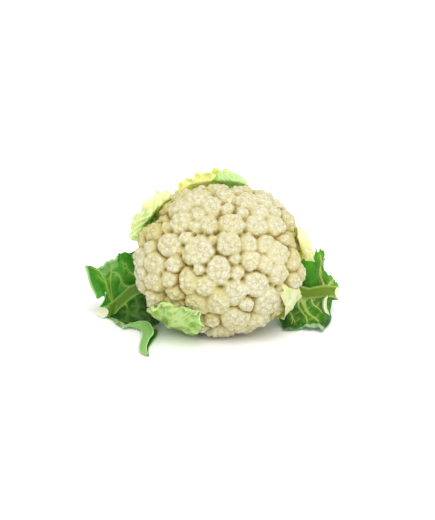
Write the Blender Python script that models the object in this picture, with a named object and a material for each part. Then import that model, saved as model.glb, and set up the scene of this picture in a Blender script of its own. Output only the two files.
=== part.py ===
"""A trimmed cauliflower head lying on its side, curd to the front, with its stem and leaves behind.

Metres, +Z up. The origin is the middle of the flat spot under the curd, on the surface that the head lies on.
The head has a frame of its own: right, up across the curd's face, and crown, from the stem out through the curd.
"""

import math

import bmesh
import bpy
import numpy as np

MM = 0.001
GOLDEN_ANGLE = math.pi * (3 - math.sqrt(5))

# The head's place: its centre is the middle of the curd's widest ring.
CROWN_TILT = math.radians(30)
CENTRE_HEIGHT = 65.6 * MM
CENTRE_BACK = 32.7 * MM

# The curd: half its width and height across the face, and its depth in front of and behind the widest ring.
CURD_HALF_WIDTH = 84 * MM
CURD_HALF_HEIGHT = 73.5 * MM
CURD_FRONT = 58 * MM
CURD_BACK = 34 * MM
CURD_ROUNDNESS = 2.25
CURD_SEAT = 33 * MM

# The core that the florets stand out of, as shares of the curd's half width, half height, front and back.
CORE_SHARES = (0.76, 0.76, 0.72, 0.45)

# Florets seen on the face: right, up and radius in millimetres, and how far each sits below the curd's outer form.
FACE_FLORETS = (
    (-20, -1, 15, 0), (8, 6, 12, 0), (-1, -19, 12.5, 0), (12, 26, 13, 0), (-11, 25, 8.5, 1),
    (-7, 46, 10.5, 0), (5, 56, 11, 1), (-22, 58, 12, 0), (-38, 49, 13, 1), (-39, 31, 13, 1),
    (-27, 24, 7, 0), (-49, 6, 12, 0), (-68, 20, 12, 2), (-45, -13, 8, 1), (-64, -10, 12, 1),
    (-49, -27, 8, 0), (-66, -27, 11, 2), (-45, -40, 8.5, 1), (-29, -29, 12, 1), (-13, -35, 10, 0),
    (-1, -50, 11, 0), (-21, -50, 11, 1), (16, -40, 12, 1), (34, -33, 11.5, 0), (16, -22, 8.5, 2),
    (29, -12, 9.5, 1), (27, 8, 9.5, 2), (35, 25, 11, 1), (46, -48, 12.5, 0), (15, -66, 13, 0),
    (26, 53, 12, 0), (43, 55, 11, 2), (38, 40, 10, 2), (54, 28, 11, 1), (57, -1, 11, 0),
    (57, -22, 10, 1), (72, -7, 11, 1), (43, 8, 8.5, 1), (42, -15, 8.5, 2), (73, 16, 10, 2),
)
# The floret that the head lies on, under the centre of the curd's lower rim, and the flat spot on it.
REST_FLORET_RADIUS = 16 * MM
REST_STANDS_OUT = 0.8 * MM
REST_SPOT_RADIUS = 7 * MM
REST_SPOT_SIDES = 12
# The rest fill what is left, down to this polar angle, largest first: radius range, and the least share of
# two radii that their centres keep apart.
FILL_POLAR = math.radians(116)
FILL_SIZES = ((10.5, 13.5, 0.80), (8.0, 10.0, 0.78), (6.5, 7.5, 0.76))
FILL_PLACES = 3000
FILL_DEEPEST = 2.2 * MM

# Buds on each floret: their radius as a share of the floret's, how far out their centres sit, and the cap they cover.
BUD_SHARE = 0.36
BUD_REACH = 0.80
BUD_CAP = math.radians(92)
BUD_COVER = 1.25
FLORET_REACH = BUD_REACH + BUD_SHARE

# Stalks run from the rim florets to the seat on the stem.
STALK_BEADS = 9
STALK_TOP_SHARE = 0.5
STALK_BASE_RADIUS = 8.5 * MM
STALK_BASE_RING = 12 * MM
STALK_BASE_BACK = 22 * MM
SEAT_BALL_BACK = 14 * MM
SEAT_BALL_RADIUS = 22 * MM

# The curd's mesh: a point on each bud that shows, filled up elsewhere, and one in each hollow between three.
TIP_SHOWS = 0.5 * MM
TIP_SPACING = 3.2 * MM
FILL_DIRECTIONS = 2600
FILL_SPACING = math.radians(5.2)
LEAF_BED_HEIGHT = 1.7 * MM
LEAF_BED_CLOCK = (math.radians(190), math.radians(240))

# The stem: a stout stalk with a clean cut across its end.
STEM_RADIUS = 21 * MM
STEM_START = CURD_SEAT + 0.3 * MM
STEM_END = 78 * MM
STEM_SIDES = 28
STEM_RIPPLE = 0.8 * MM
STEM_CUT_BEVEL = 1.2 * MM

# Leaves.
LEAF_GAP = 0.3 * MM
BLADE_HALF = 0.5 * MM
CROSS_ROWS = (-1, -0.82, -0.6, -0.4, -0.22, -0.1, 0, 0.1, 0.22, 0.4, 0.6, 0.82, 1)
INNER_ROWS = (-1, -0.72, -0.42, -0.17, 0, 0.17, 0.42, 0.72, 1)

SEED = 7


def unit(vectors):
    """Each row of vectors at length 1."""
    return vectors / np.linalg.norm(vectors, axis=-1, keepdims=True)


def to_world(points):
    """Points of the head's frame (right, up, crown) as world points."""
    points = np.asarray(points, float)
    up = np.array([0, math.sin(CROWN_TILT), math.cos(CROWN_TILT)])
    crown = np.array([0, -math.cos(CROWN_TILT), math.sin(CROWN_TILT)])
    centre = np.array([0, CENTRE_BACK, CENTRE_HEIGHT])
    return centre + points[..., :1] * [1, 0, 0] + points[..., 1:2] * up + points[..., 2:3] * crown


def to_head(points):
    """World points as points of the head's frame."""
    points = np.asarray(points, float) - [0, CENTRE_BACK, CENTRE_HEIGHT]
    up = np.array([0, math.sin(CROWN_TILT), math.cos(CROWN_TILT)])
    crown = np.array([0, -math.cos(CROWN_TILT), math.sin(CROWN_TILT)])
    return np.stack([points[..., 0], points @ up, points @ crown], axis=-1)


def heading(polar, clock):
    """Unit directions in the head's frame: polar from the crown, clock from up towards the right."""
    return np.stack(
        [np.sin(polar) * np.sin(clock), np.sin(polar) * np.cos(clock), np.cos(polar) + 0 * clock], axis=-1
    )


def half_sizes(directions):
    """The curd's half sizes that apply along each direction."""
    sizes = np.empty(directions.shape)
    sizes[..., 0] = CURD_HALF_WIDTH
    sizes[..., 1] = CURD_HALF_HEIGHT
    sizes[..., 2] = np.where(directions[..., 2] > 0, CURD_FRONT, CURD_BACK)
    return sizes


def outer_form(directions):
    """Distance from the head's centre to the curd's smooth outer form."""
    powers = (np.abs(directions) / half_sizes(directions)) ** CURD_ROUNDNESS
    return powers.sum(axis=-1) ** (-1 / CURD_ROUNDNESS)


def outward(points):
    """Normals of the outer form at points on it."""
    sizes = half_sizes(points)
    return unit(np.sign(points) * np.abs(points / sizes) ** (CURD_ROUNDNESS - 1) / sizes)


def on_face(right, up):
    """The point of the outer form's front that lies over a place on the face."""
    used = (abs(right) / CURD_HALF_WIDTH) ** CURD_ROUNDNESS + (abs(up) / CURD_HALF_HEIGHT) ** CURD_ROUNDNESS
    return np.array([right, up, CURD_FRONT * max(0.0, 1 - used) ** (1 / CURD_ROUNDNESS)])


def rest_spot():
    """Directions from the head's centre to the flat spot's middle and rim."""
    turn = np.arange(REST_SPOT_SIDES) * 2 * math.pi / REST_SPOT_SIDES
    rim = np.stack([np.cos(turn), np.sin(turn), 0 * turn], axis=1) * REST_SPOT_RADIUS
    return unit(to_head(np.vstack([[0, 0, 0], rim])))


def golden_spiral(count):
    """Unit directions spread evenly over a sphere, from +Z down."""
    k = np.arange(count) + 0.5
    return heading(np.arccos(1 - 2 * k / count), k * GOLDEN_ANGLE)


def grow_florets():
    """Centres, outward normals and radii of the florets: those seen on the face, then a filling of the rest."""
    rng = np.random.default_rng(SEED)
    centres, normals, radii = [], [], []

    def add(point, radius, depth):
        normal = outward(point)
        centres.append(point - normal * (FLORET_REACH * radius + depth))
        normals.append(normal)
        radii.append(radius)

    for right, up, radius, depth in FACE_FLORETS:
        add(on_face(right * MM, up * MM), radius * MM, depth * MM)
    down = rest_spot()[0]
    add(down * outer_form(down), REST_FLORET_RADIUS, -REST_STANDS_OUT)
    places = [d for d in golden_spiral(FILL_PLACES) if d[2] > math.cos(FILL_POLAR)]
    for least, most, apart in FILL_SIZES:
        for direction in places:
            radius, depth = rng.uniform(least, most) * MM, rng.uniform(0, FILL_DEEPEST)
            point = direction * outer_form(direction)
            centre = point - outward(point) * (FLORET_REACH * radius + depth)
            gaps = np.linalg.norm(np.array(centres) - centre, axis=1)
            if (gaps > apart * (np.array(radii) + radius)).all():
                add(point, radius, depth)
    return np.array(centres), np.array(normals), np.array(radii)


def side_axes(normal):
    """Two unit vectors square to normal and to each other."""
    helper = np.array([0.0, 0, 1]) if abs(normal[2]) < 0.9 else np.array([0.0, 1, 0])
    first = unit(np.cross(normal, helper))
    return first, np.cross(normal, first)


def grow_buds(centre, normal, radius, share, cap, rng):
    """Buds on a floret's dome: a golden-angle spiral out from its tip, each a little uneven."""
    count = round(BUD_COVER * 2 * (1 - math.cos(cap)) / share**2)
    first, second = side_axes(normal)
    k = np.arange(count)
    polar = np.arccos(1 - (k + 0.5) / count * (1 - math.cos(cap)))
    turn = k * GOLDEN_ANGLE + rng.uniform(0, 2 * math.pi)
    across = np.sin(polar)[:, None] * (np.cos(turn)[:, None] * first + np.sin(turn)[:, None] * second)
    directions = np.cos(polar)[:, None] * normal + across
    sizes = share * radius * rng.uniform(0.85, 1.12, count)
    return centre + directions * (BUD_REACH * radius), directions, sizes


def stalk_beads(centres, radii):
    """Closely spaced balls along the stalk of each floret low on the curd, down to the seat."""
    balls, sizes = [np.array([0, 0, -SEAT_BALL_BACK])], [SEAT_BALL_RADIUS]
    for centre, radius in zip(centres, radii):
        ring = math.hypot(centre[0], centre[1])
        if ring < 2 * STALK_BASE_RING:
            continue
        share = STALK_BASE_RING / ring
        base = np.array([centre[0] * share, centre[1] * share, -STALK_BASE_BACK])
        for t in np.linspace(0, 1, STALK_BEADS):
            balls.append(centre + (base - centre) * t)
            sizes.append(STALK_TOP_SHARE * radius * (1 - t) + STALK_BASE_RADIUS * t)
    return np.array(balls), np.array(sizes)


def farthest(directions, centres, radii):
    """How far along each direction the union of the balls reaches, from the head's centre."""
    reach = np.zeros(len(directions))
    for centre, radius in zip(centres, radii):
        along = directions @ centre
        inside = along**2 - (centre @ centre - radius**2)
        hit = inside > 0
        reach[hit] = np.maximum(reach[hit], along[hit] + np.sqrt(inside[hit]))
    return reach


def core_reach(directions):
    """Distance from the head's centre to the plain core under the florets."""
    wide, tall, front, back = CORE_SHARES
    shares = np.empty(directions.shape)
    shares[:] = (wide, tall, front)
    shares[directions[:, 2] < 0, 2] = back
    powers = (np.abs(directions) / (half_sizes(directions) * shares)) ** 2
    return powers.sum(axis=1) ** -0.5


def material(name, colour, roughness):
    made = bpy.data.materials.new(name)
    made.use_nodes = True
    shader = made.node_tree.nodes["Principled BSDF"]
    shader.inputs["Base Color"].default_value = (*colour, 1)
    shader.inputs["Roughness"].default_value = roughness
    shader.inputs["Metallic"].default_value = 0
    made.diffuse_color = (*colour, 1)
    return made


def mesh_object(name, points, faces, skin):
    mesh = bpy.data.meshes.new(name)
    mesh.from_pydata([tuple(p) for p in points], [], [tuple(f) for f in faces])
    mesh.materials.append(skin)
    mesh.shade_smooth()
    mesh.set_sharp_from_angle(angle=math.radians(50))
    made = bpy.data.objects.new(name, mesh)
    bpy.context.scene.collection.objects.link(made)
    return made


def sphere_faces(directions):
    """Triangles of the hull of unit directions, facing out, in the directions' own order."""
    bm = bmesh.new()
    order = bm.verts.layers.int.new("order")
    for index, direction in enumerate(directions):
        bm.verts.new(direction)[order] = index
    hull = bmesh.ops.convex_hull(bm, input=bm.verts)
    bmesh.ops.triangulate(bm, faces=[f for f in hull["geom"] if isinstance(f, bmesh.types.BMFace)])
    faces = []
    for face in bm.faces:
        corners = [v[order] for v in face.verts]
        a, b, c = (directions[i] for i in corners)
        faces.append(corners if np.cross(b - a, c - a) @ a > 0 else corners[::-1])
    bm.free()
    return faces


def mesh_directions(tips, balls, sizes):
    """Directions for the curd's mesh: the bud tips that show, an even filling, and the hollows between them."""
    distance = np.linalg.norm(tips, axis=1)
    towards = tips / distance[:, None]
    shows = distance > farthest(towards, balls, sizes) - TIP_SHOWS
    chosen = rest_spot()
    for tip, far in zip(towards[shows], distance[shows]):
        if (chosen @ tip).max() < math.cos(TIP_SPACING / far):
            chosen = np.vstack([chosen, tip])
    for direction in golden_spiral(FILL_DIRECTIONS):
        if (chosen @ direction).max() < math.cos(FILL_SPACING):
            chosen = np.vstack([chosen, direction])
    hollows = unit(chosen[np.array(sphere_faces(chosen))].sum(axis=1))
    return np.vstack([chosen, hollows])


def build_curd(skin):
    """The curd: florets with their buds as relief on a sphere of rays from the head's centre."""
    rng = np.random.default_rng(SEED)
    centres, normals, radii = grow_florets()
    balls, sizes, tips = [centres], [radii], []
    for centre, normal, radius in zip(centres, normals, radii):
        bud_centres, bud_directions, bud_sizes = grow_buds(centre, normal, radius, BUD_SHARE, BUD_CAP, rng)
        balls.append(bud_centres)
        sizes.append(bud_sizes)
        tips.append(bud_centres + bud_directions * bud_sizes[:, None])
    beads, bead_sizes = stalk_beads(centres, radii)
    balls, sizes = np.vstack([*balls, beads]), np.concatenate([*sizes, bead_sizes])
    directions = mesh_directions(np.vstack(tips), balls, sizes)
    reach = np.maximum(farthest(directions, balls, sizes), core_reach(directions))
    spot = rest_spot()
    on_spot = directions @ spot[0] > (spot[1:] @ spot[0]).min() - 1e-9
    sinks = -(directions[:, 1] * math.cos(CROWN_TILT) + directions[:, 2] * math.sin(CROWN_TILT))
    reach[on_spot] = CENTRE_HEIGHT / sinks[on_spot]
    points = directions * reach[:, None]
    points[:, 2] = np.maximum(points[:, 2], -CURD_SEAT)
    clock = np.arctan2(points[:, 0], points[:, 1]) % (2 * math.pi)
    on_leaf = (clock > LEAF_BED_CLOCK[0]) & (clock < LEAF_BED_CLOCK[1])
    points = to_world(points)
    points[:, 2] = np.maximum(points[:, 2], np.where(on_leaf, LEAF_BED_HEIGHT, 0))
    return mesh_object("curd", points, sphere_faces(directions), skin)


def build_stem(skin):
    """The stem: rings of a slightly fluted stalk, closed by its seat under the curd and by the cut."""
    rings = (
        (STEM_START, 0.96),
        (STEM_START + 8 * MM, 1.0),
        (0.5 * (STEM_START + STEM_END), 0.97),
        (STEM_END - 10 * MM, 0.98),
        (STEM_END - STEM_CUT_BEVEL, 1.0),
        (STEM_END, 1 - STEM_CUT_BEVEL / STEM_RADIUS),
    )
    turn = np.arange(STEM_SIDES) * 2 * math.pi / STEM_SIDES
    points = []
    for back, share in rings:
        radius = STEM_RADIUS * share - STEM_RIPPLE * (1 + np.sin(5 * turn + 0.6)) / 2
        ring = np.stack([radius * np.sin(turn), radius * np.cos(turn), np.full(STEM_SIDES, -back)], axis=1)
        points.extend(ring)
    faces = []
    for ring in range(len(rings) - 1):
        for side in range(STEM_SIDES):
            a, b = ring * STEM_SIDES + side, ring * STEM_SIDES + (side + 1) % STEM_SIDES
            faces.append((a, b, b + STEM_SIDES, a + STEM_SIDES))
    first = list(range(STEM_SIDES))
    last = [(len(rings) - 1) * STEM_SIDES + side for side in range(STEM_SIDES)]
    faces += [first[::-1], last]
    return mesh_object("stem", to_world(points), faces, skin)


def smooth_step(t):
    t = np.clip(t, 0, 1)
    return t * t * (3 - 2 * t)


def through(knots, t):
    """A smooth curve through the knots, at places t from 0 to 1 spread evenly over them."""
    knots = np.asarray(knots, float)
    place = np.clip(t, 0, 1) * (len(knots) - 1)
    start = np.minimum(place.astype(int), len(knots) - 2)
    part = (place - start)[..., None]
    before, a = knots[np.maximum(start - 1, 0)], knots[start]
    b, after = knots[start + 1], knots[np.minimum(start + 2, len(knots) - 1)]
    slope_a, slope_b = (b - before) / 2, (after - a) / 2
    return (
        (2 * part**3 - 3 * part**2 + 1) * a
        + (part**3 - 2 * part**2 + part) * slope_a
        + (3 * part**2 - 2 * part**3) * b
        + (part**3 - part**2) * slope_b
    )


def sheet_normals(sheet, u, v):
    """Unit normals of a sheet, a function of u from 0 to 1 and v from -1 to 1."""
    step = 0.004
    along = sheet(np.minimum(u + step, 1), v) - sheet(np.maximum(u - step, 0), v)
    across = sheet(u, np.minimum(v + step, 1)) - sheet(u, np.maximum(v - step, -1))
    return unit(np.cross(along, across))


def leaf_solid(name, upper, lower, skin):
    """A closed leaf between two grids of points, both split alike, with a rim round them, lifted onto the ground."""
    rows, columns = upper.shape[:2]
    short = np.maximum(-np.minimum(upper[..., 2], lower[..., 2]), 0)
    points = np.vstack([grid.reshape(-1, 3) for grid in (upper, lower)])
    points[:, 2] += np.tile(short.ravel(), 2)
    count, faces = rows * columns, []
    for i in range(rows - 1):
        for j in range(columns - 1):
            a, b = i * columns + j, i * columns + j + 1
            c, d = b + columns, a + columns
            split = ((a, b, c), (a, c, d)) if (j < columns // 2) else ((a, b, d), (b, c, d))
            faces += [face[::-1] for face in split]
            faces += [tuple(index + count for index in face) for face in split]
    edge = list(range(columns))
    edge += [i * columns + columns - 1 for i in range(1, rows)]
    edge += [(rows - 1) * columns + j for j in range(columns - 2, -1, -1)]
    edge += [i * columns for i in range(rows - 2, 0, -1)]
    for a, b in zip(edge, edge[1:] + edge[:1]):
        faces += [(a, b, b + count), (a, b + count, a + count)]
    return mesh_object(name, points, faces_out(points, faces), skin)


def faces_out(points, faces):
    """The faces of a closed body, all turned to face out."""
    corners = points[np.array(faces)]
    volume = np.einsum("ij,ij->i", corners[:, 0], np.cross(corners[:, 1], corners[:, 2])).sum()
    return faces if volume > 0 else [face[::-1] for face in faces]


def two_faces(sheet, u, v, rib, share, side):
    """The two faces of a sheet: a blade's thickness, and a rib standing out behind and by a share of it in front."""
    middle, normals = sheet(u, v), sheet_normals(sheet, u, v)
    normals = normals * np.sign((normals * side).sum())
    crest = normals[:, middle.shape[1] // 2][:, None]
    front = middle + normals * BLADE_HALF + crest * (share * rib)[..., None]
    back = middle - normals * BLADE_HALF - crest * rib[..., None]
    return front, back


def rib_profile(across, half_width):
    """A rounded ridge along the middle of a leaf, 1 on its crest and 0 past its half width."""
    return np.sqrt(np.clip(1 - (across / half_width) ** 2, 0, 1))


# The small pale leaves that hug the curd. For each: clock angle of its blade and of its root in degrees from the
# top of the face to the right, half width in mm, polar angle of its end at five places across, layer over the
# curd in mm, height of the waves at its margin in mm with their number and phase, and how far its end stands off.
INNER_LEAVES = {
    "inner_leaf_upper_left": dict(
        clock=304, root=302, half=33, ends=(93, 74, 66, 77, 93), layer=1.2, waves=3.1, wave=2.0, phase=0.9, off=0),
    "inner_leaf_top": dict(
        clock=350, root=346, half=24, ends=(112, 97, 89, 83, 88), layer=3.9, waves=3.0, wave=2.5, phase=2.0, off=8),
    "inner_leaf_top_right": dict(
        clock=12, root=20, half=18, ends=(90, 75, 69, 76, 92), layer=1.2, waves=2.0, wave=1.0, phase=4.1, off=0),
    "inner_leaf_right": dict(
        clock=77, root=66, half=24, ends=(88, 69, 62, 66, 86), layer=1.2, waves=3.0, wave=1.5, phase=1.2, off=0),
    "inner_leaf_lower_right": dict(
        clock=121, root=125, half=22, ends=(82, 64, 63, 70, 88), layer=1.2, waves=3.0, wave=1.0, phase=3.0, off=0),
    "inner_leaf_lower_left": dict(
        clock=214, root=222, half=27, ends=(68, 54, 57, 65, 82), layer=1.2, waves=3.4, wave=0.8, phase=5.2, off=0),
}
INNER_LENGTH_ROWS = 15
INNER_ROOT_BACK = 43 * MM
INNER_ROOT_HALF = 5 * MM
INNER_ROOT_POLAR = math.radians(150)
INNER_RIB = 5 * MM
# How far the leaves bulge off the curd behind its rim: the least and most of it, and the clock angle of the most.
BULGE_LEAST = 1 * MM
BULGE_MOST = 6 * MM
BULGE_CLOCK = math.radians(330)


def leaf_bed(polar, clock):
    """Distance from the head's centre to the surface that the inner leaves lie on."""
    most = BULGE_LEAST + (BULGE_MOST - BULGE_LEAST) * (0.5 + 0.5 * np.cos(clock - BULGE_CLOCK))
    bulge = most * np.exp(-(((np.degrees(polar) - 104) / 17) ** 2))
    shoulder = 7 * MM * smooth_step((np.degrees(polar) - 112) / 38)
    return outer_form(heading(polar, clock)) + bulge + shoulder


def hugging_sheet(leaf, u, v):
    """The middle sheet of a leaf that leaves the stem and lies round the curd. u runs to the tip, v across."""
    clock, root = math.radians(leaf["clock"]), math.radians(leaf["root"])
    ends = through(np.array(leaf["ends"])[:, None], (v + 1) / 2)[..., 0]
    ragged = 2.2 * np.sin(11 * v + leaf["phase"]) + 1.3 * np.sin(23 * v + 2 * leaf["phase"])
    polar = INNER_ROOT_POLAR + (np.radians(ends + ragged) - INNER_ROOT_POLAR) * u
    half = INNER_ROOT_HALF + (leaf["half"] * MM - INNER_ROOT_HALF) * smooth_step(u / 0.62)
    half = half * (1 - 0.08 * smooth_step((u - 0.5) / 0.5))
    middle_clock = root + (clock - root) * smooth_step(u)
    ring = np.maximum(outer_form(heading(polar, middle_clock)) * np.sin(polar), 20 * MM)
    angle = middle_clock + v * half / ring
    wave = np.sin(2 * math.pi * leaf["waves"] * (u + 0.35 * v) + leaf["phase"])
    ruffle = leaf["wave"] * MM * (0.5 + 0.5 * wave) * np.maximum(np.abs(v) ** 2 * u, smooth_step((u - 0.7) / 0.3))
    away = (leaf["layer"] * MM + BLADE_HALF) + ruffle + leaf["off"] * MM * smooth_step((u - 0.45) / 0.5)
    hugging = heading(polar, angle) * (leaf_bed(polar, angle) + away)[..., None]
    around = root + v * INNER_ROOT_HALF / STEM_RADIUS
    reach = STEM_RADIUS + LEAF_GAP
    rooted = np.stack([reach * np.sin(around), reach * np.cos(around), np.full(u.shape, -INNER_ROOT_BACK)], axis=-1)
    return rooted + (hugging - rooted) * smooth_step(u / 0.22)[..., None]


def build_inner_leaf(name, leaf, skin):
    u, v = np.meshgrid(np.linspace(0, 1, INNER_LENGTH_ROWS), np.array(INNER_ROWS), indexing="ij")
    rib = INNER_RIB * (1 - smooth_step(u / 0.9)) * rib_profile(v, 0.17 + 0.75 * (1 - smooth_step(u / 0.3)))
    inwards = to_world([0, 0, 0]) - to_world(hugging_sheet(leaf, u, v))
    front, back = two_faces(lambda a, b: to_world(hugging_sheet(leaf, a, b)), u, v, rib, 0, inwards)
    return leaf_solid(name, front, back, skin)


# The big green leaves, cut across by the knife. Each station is a place along the midrib, with five points across
# the leaf in millimetres in the world: upper margin, halfway, midrib, halfway, lower margin.
LEFT_STATIONS = (
    ((-23, 77, 41), (-23, 77, 38.5), (-23, 77, 36), (-23, 77, 33.5), (-23, 77, 31)),
    ((-46, 79, 54), (-44, 76, 43), (-42, 72, 34), (-41, 68, 26), (-40, 63, 18)),
    ((-70, 76, 66), (-65, 71, 50), (-60, 66, 33), (-56, 60, 20), (-51, 52, 8)),
    ((-95, 66, 61), (-86, 61, 46), (-77, 60, 28), (-70, 50, 15), (-62, 33, 4)),
    ((-112, 60, 57), (-97, 57, 44), (-82, 58.5, 25.5), (-72, 40, 12), (-61, -14, 4)),
    ((-123, 56, 54), (-105, 54, 40), (-86, 57, 23), (-76, 32, 10), (-68, -43, 2)),
    ((-130, 53, 52), (-111, 52, 37), (-91, 55.5, 20.5), (-83, 34, 9), (-74.5, -16, 5)),
    ((-124, 51, 40), (-112, 51, 29), (-98, 53.5, 16.5), (-93, 46, 9), (-88, 36, 3)),
    ((-116, 51, 29), (-110, 51, 21), (-104, 52, 13), (-102, 49, 8), (-100, 45, 3)),
    ((-113, 51, 17.5), (-111.5, 51, 14.5), (-109.5, 51.5, 10.5), (-109, 50.5, 7), (-108, 49.5, 4)),
    ((-115.5, 51, 13.5), (-115.5, 51, 11), (-115, 51, 8.5), (-115, 51, 6), (-115, 51, 3.5)),
)
RIGHT_STATIONS = (
    ((23, 77, 41), (23, 77, 38.5), (23, 77, 36), (23, 77, 33.5), (23, 77, 31)),
    ((48, 79, 52), (46, 76, 40), (44, 72, 30), (43, 68, 23), (42, 62, 15)),
    ((70, 76, 66), (66, 71, 46), (62, 67, 26), (60, 56, 15), (57, 37, 5)),
    ((84, 68, 66), (79, 64, 46), (72, 64, 24), (68, 48, 14), (61, 24, 2)),
    ((93, 64, 70), (88, 61, 48), (80, 62, 24), (78, 46, 15), (72, 29, 3.5)),
    ((99, 62, 62), (94, 60, 44), (88, 60.5, 24.5), (88, 45, 15), (86, 30, 3.5)),
    ((102, 61, 54), (98.5, 60, 40), (95, 59.5, 25.5), (97, 44, 15), (101, 25, 2)),
    ((107, 60, 46), (104.5, 59, 37), (101, 59, 26), (103, 49, 18), (106, 37, 9)),
    ((111, 59, 38), (109.5, 58.5, 33), (107.5, 58.5, 27), (107, 55, 23.5), (107, 51.5, 19.5)),
    ((113.5, 58, 33), (113, 58, 31), (113, 58, 28), (113, 58, 25.5), (113, 58, 23)),
)
OUTER_LENGTH_ROWS = 27
OUTER_RIB = 4.5 * MM
OUTER_RIB_HALF = 6.5 * MM
# The margins roll from this share of the half width out, as waves along the leaf: the upper and the lower one
# by up to so many radians, less where more than a short flap would turn.
ROLL_START = 0.8
ROLL_LENGTH = 5 * MM
OUTER_LEAVES = {
    "outer_leaf_left": dict(stations=LEFT_STATIONS, roll=(0.9, 0.1), waves=3.6, phase=0.5),
    "outer_leaf_right": dict(stations=RIGHT_STATIONS, roll=(0.9, 0.9), waves=3.6, phase=2.1),
}


def stationed_sheet(leaf, u, v):
    """The middle sheet of a leaf through its stations. u runs from the stem to the cut, v from margin to margin."""
    stations = np.array(leaf["stations"], float) * MM
    lines = np.stack([through(stations[:, k], u[:, 0]) for k in range(5)])
    return np.stack([through(lines[:, i], (v[i] + 1) / 2) for i in range(len(u))])


def rolled_sheet(leaf, u, v):
    """The sheet with its margins rolled to and fro along the leaf."""
    flat = stationed_sheet(leaf, u, v)
    hinge = stationed_sheet(leaf, u, np.clip(v, -ROLL_START, ROLL_START))
    flap = np.linalg.norm(flat - hinge, axis=-1)
    along = (flat - hinge) / np.maximum(flap, 1e-9)[..., None]
    up = np.cross(np.gradient(hinge, axis=0), along)
    up = up / np.maximum(np.linalg.norm(up, axis=-1), 1e-9)[..., None] * np.sign(v)[..., None]
    most = np.where(v < 0, leaf["roll"][0], leaf["roll"][1])
    turn = most * np.sin(2 * math.pi * leaf["waves"] * u + leaf["phase"] + 1.3 * np.sign(v))
    turn = turn * smooth_step(u * 4) * smooth_step((1 - u) * 3 - 0.6) * np.minimum(1, ROLL_LENGTH / (flap + 1e-9))
    turn = np.where(np.abs(turn) < 1e-3, 1e-3, turn)
    rolled = hinge + flap[..., None] * (
        (np.sin(turn) / turn)[..., None] * along + ((1 - np.cos(turn)) / turn)[..., None] * up
    )
    return np.where((np.abs(v) > ROLL_START)[..., None], rolled, flat)


def build_outer_leaf(name, leaf, skin):
    u, v = np.meshgrid(np.linspace(0, 1, OUTER_LENGTH_ROWS), np.array(CROSS_ROWS), indexing="ij")
    middle = rolled_sheet(leaf, u, v)
    spread = np.linalg.norm(middle - middle[:, len(CROSS_ROWS) // 2][:, None], axis=-1)
    rib = OUTER_RIB * rib_profile(np.clip(spread / OUTER_RIB_HALF, 0, 1), 1)
    front, back = two_faces(lambda a, b: rolled_sheet(leaf, a, b), u, v, rib, 0.35, np.array([0, -1, 0.3]))
    return leaf_solid(name, front, back, skin)


# Bases of trimmed leaves round the stem: clock angle in degrees, and how long they were left, in mm.
LEAF_BASES = {
    "leaf_base_lower_left": dict(clock=210, length=26),
    "leaf_base_lower_right": dict(clock=150, length=26),
    "leaf_base_upper_left": dict(clock=322, length=20),
    "leaf_base_upper_right": dict(clock=34, length=17),
}
BASE_GAP = 0.9 * MM
BASE_BACK = 61 * MM
BASE_LEAN = 5 * MM
BASE_HALF = 10 * MM
BASE_RIB = 4.5 * MM
BASE_LENGTH_ROWS = 6


def base_sheet(base, u, v):
    """The middle sheet of a trimmed leaf's base, out from the stem and a little back."""
    ring = STEM_RADIUS + BASE_GAP + u * base["length"] * MM
    angle = math.radians(base["clock"]) + v * BASE_HALF * (1 - 0.12 * u) / (ring * (1 - 0.25 * u))
    back = BASE_BACK + BASE_LEAN * (smooth_step(u) + 0.5 * (v * v) * (1 - u))
    return to_world(np.stack([ring * np.sin(angle), ring * np.cos(angle), -back], axis=-1))


def build_leaf_base(name, base, skin):
    """A short thick stalk that clasps the stem and ends in a cut."""
    u, v = np.meshgrid(np.linspace(0, 1, BASE_LENGTH_ROWS), np.array(INNER_ROWS), indexing="ij")
    rib = BASE_RIB * rib_profile(v, 1.05) * (1 - 0.2 * u)
    towards_crown = to_world([0, 0, 0]) - to_world([0, 0, -0.1])
    front, behind = two_faces(lambda a, b: base_sheet(base, a, b), u, v, rib, 0.3, towards_crown)
    return leaf_solid(name, front, behind, skin)


def main():
    for old in list(bpy.data.objects):
        bpy.data.objects.remove(old)
    cream = material("curd_cream", (0.86, 0.78, 0.56), 0.55)
    stem_green = material("stem_green", (0.66, 0.72, 0.46), 0.5)
    pale_leaf = material("pale_leaf", (0.58, 0.70, 0.30), 0.45)
    green_leaf = material("green_leaf", (0.10, 0.27, 0.03), 0.4)
    build_curd(cream)
    build_stem(stem_green)
    for name, leaf in INNER_LEAVES.items():
        build_inner_leaf(name, leaf, pale_leaf)
    for name, leaf in OUTER_LEAVES.items():
        build_outer_leaf(name, leaf, green_leaf)
    for name, base in LEAF_BASES.items():
        build_leaf_base(name, base, stem_green)


main()
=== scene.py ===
# %% [markdown]
# # A trimmed head of cauliflower
# The head lies on its side on a pale floor, its curd to the front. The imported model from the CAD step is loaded
# as a fixed frame, and finer pieces are made in its place. What is soft and irregular in nature, such as curd
# and leaves, is grown here from simple rules with seeded randomness, so the script gives the same head each run.

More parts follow.
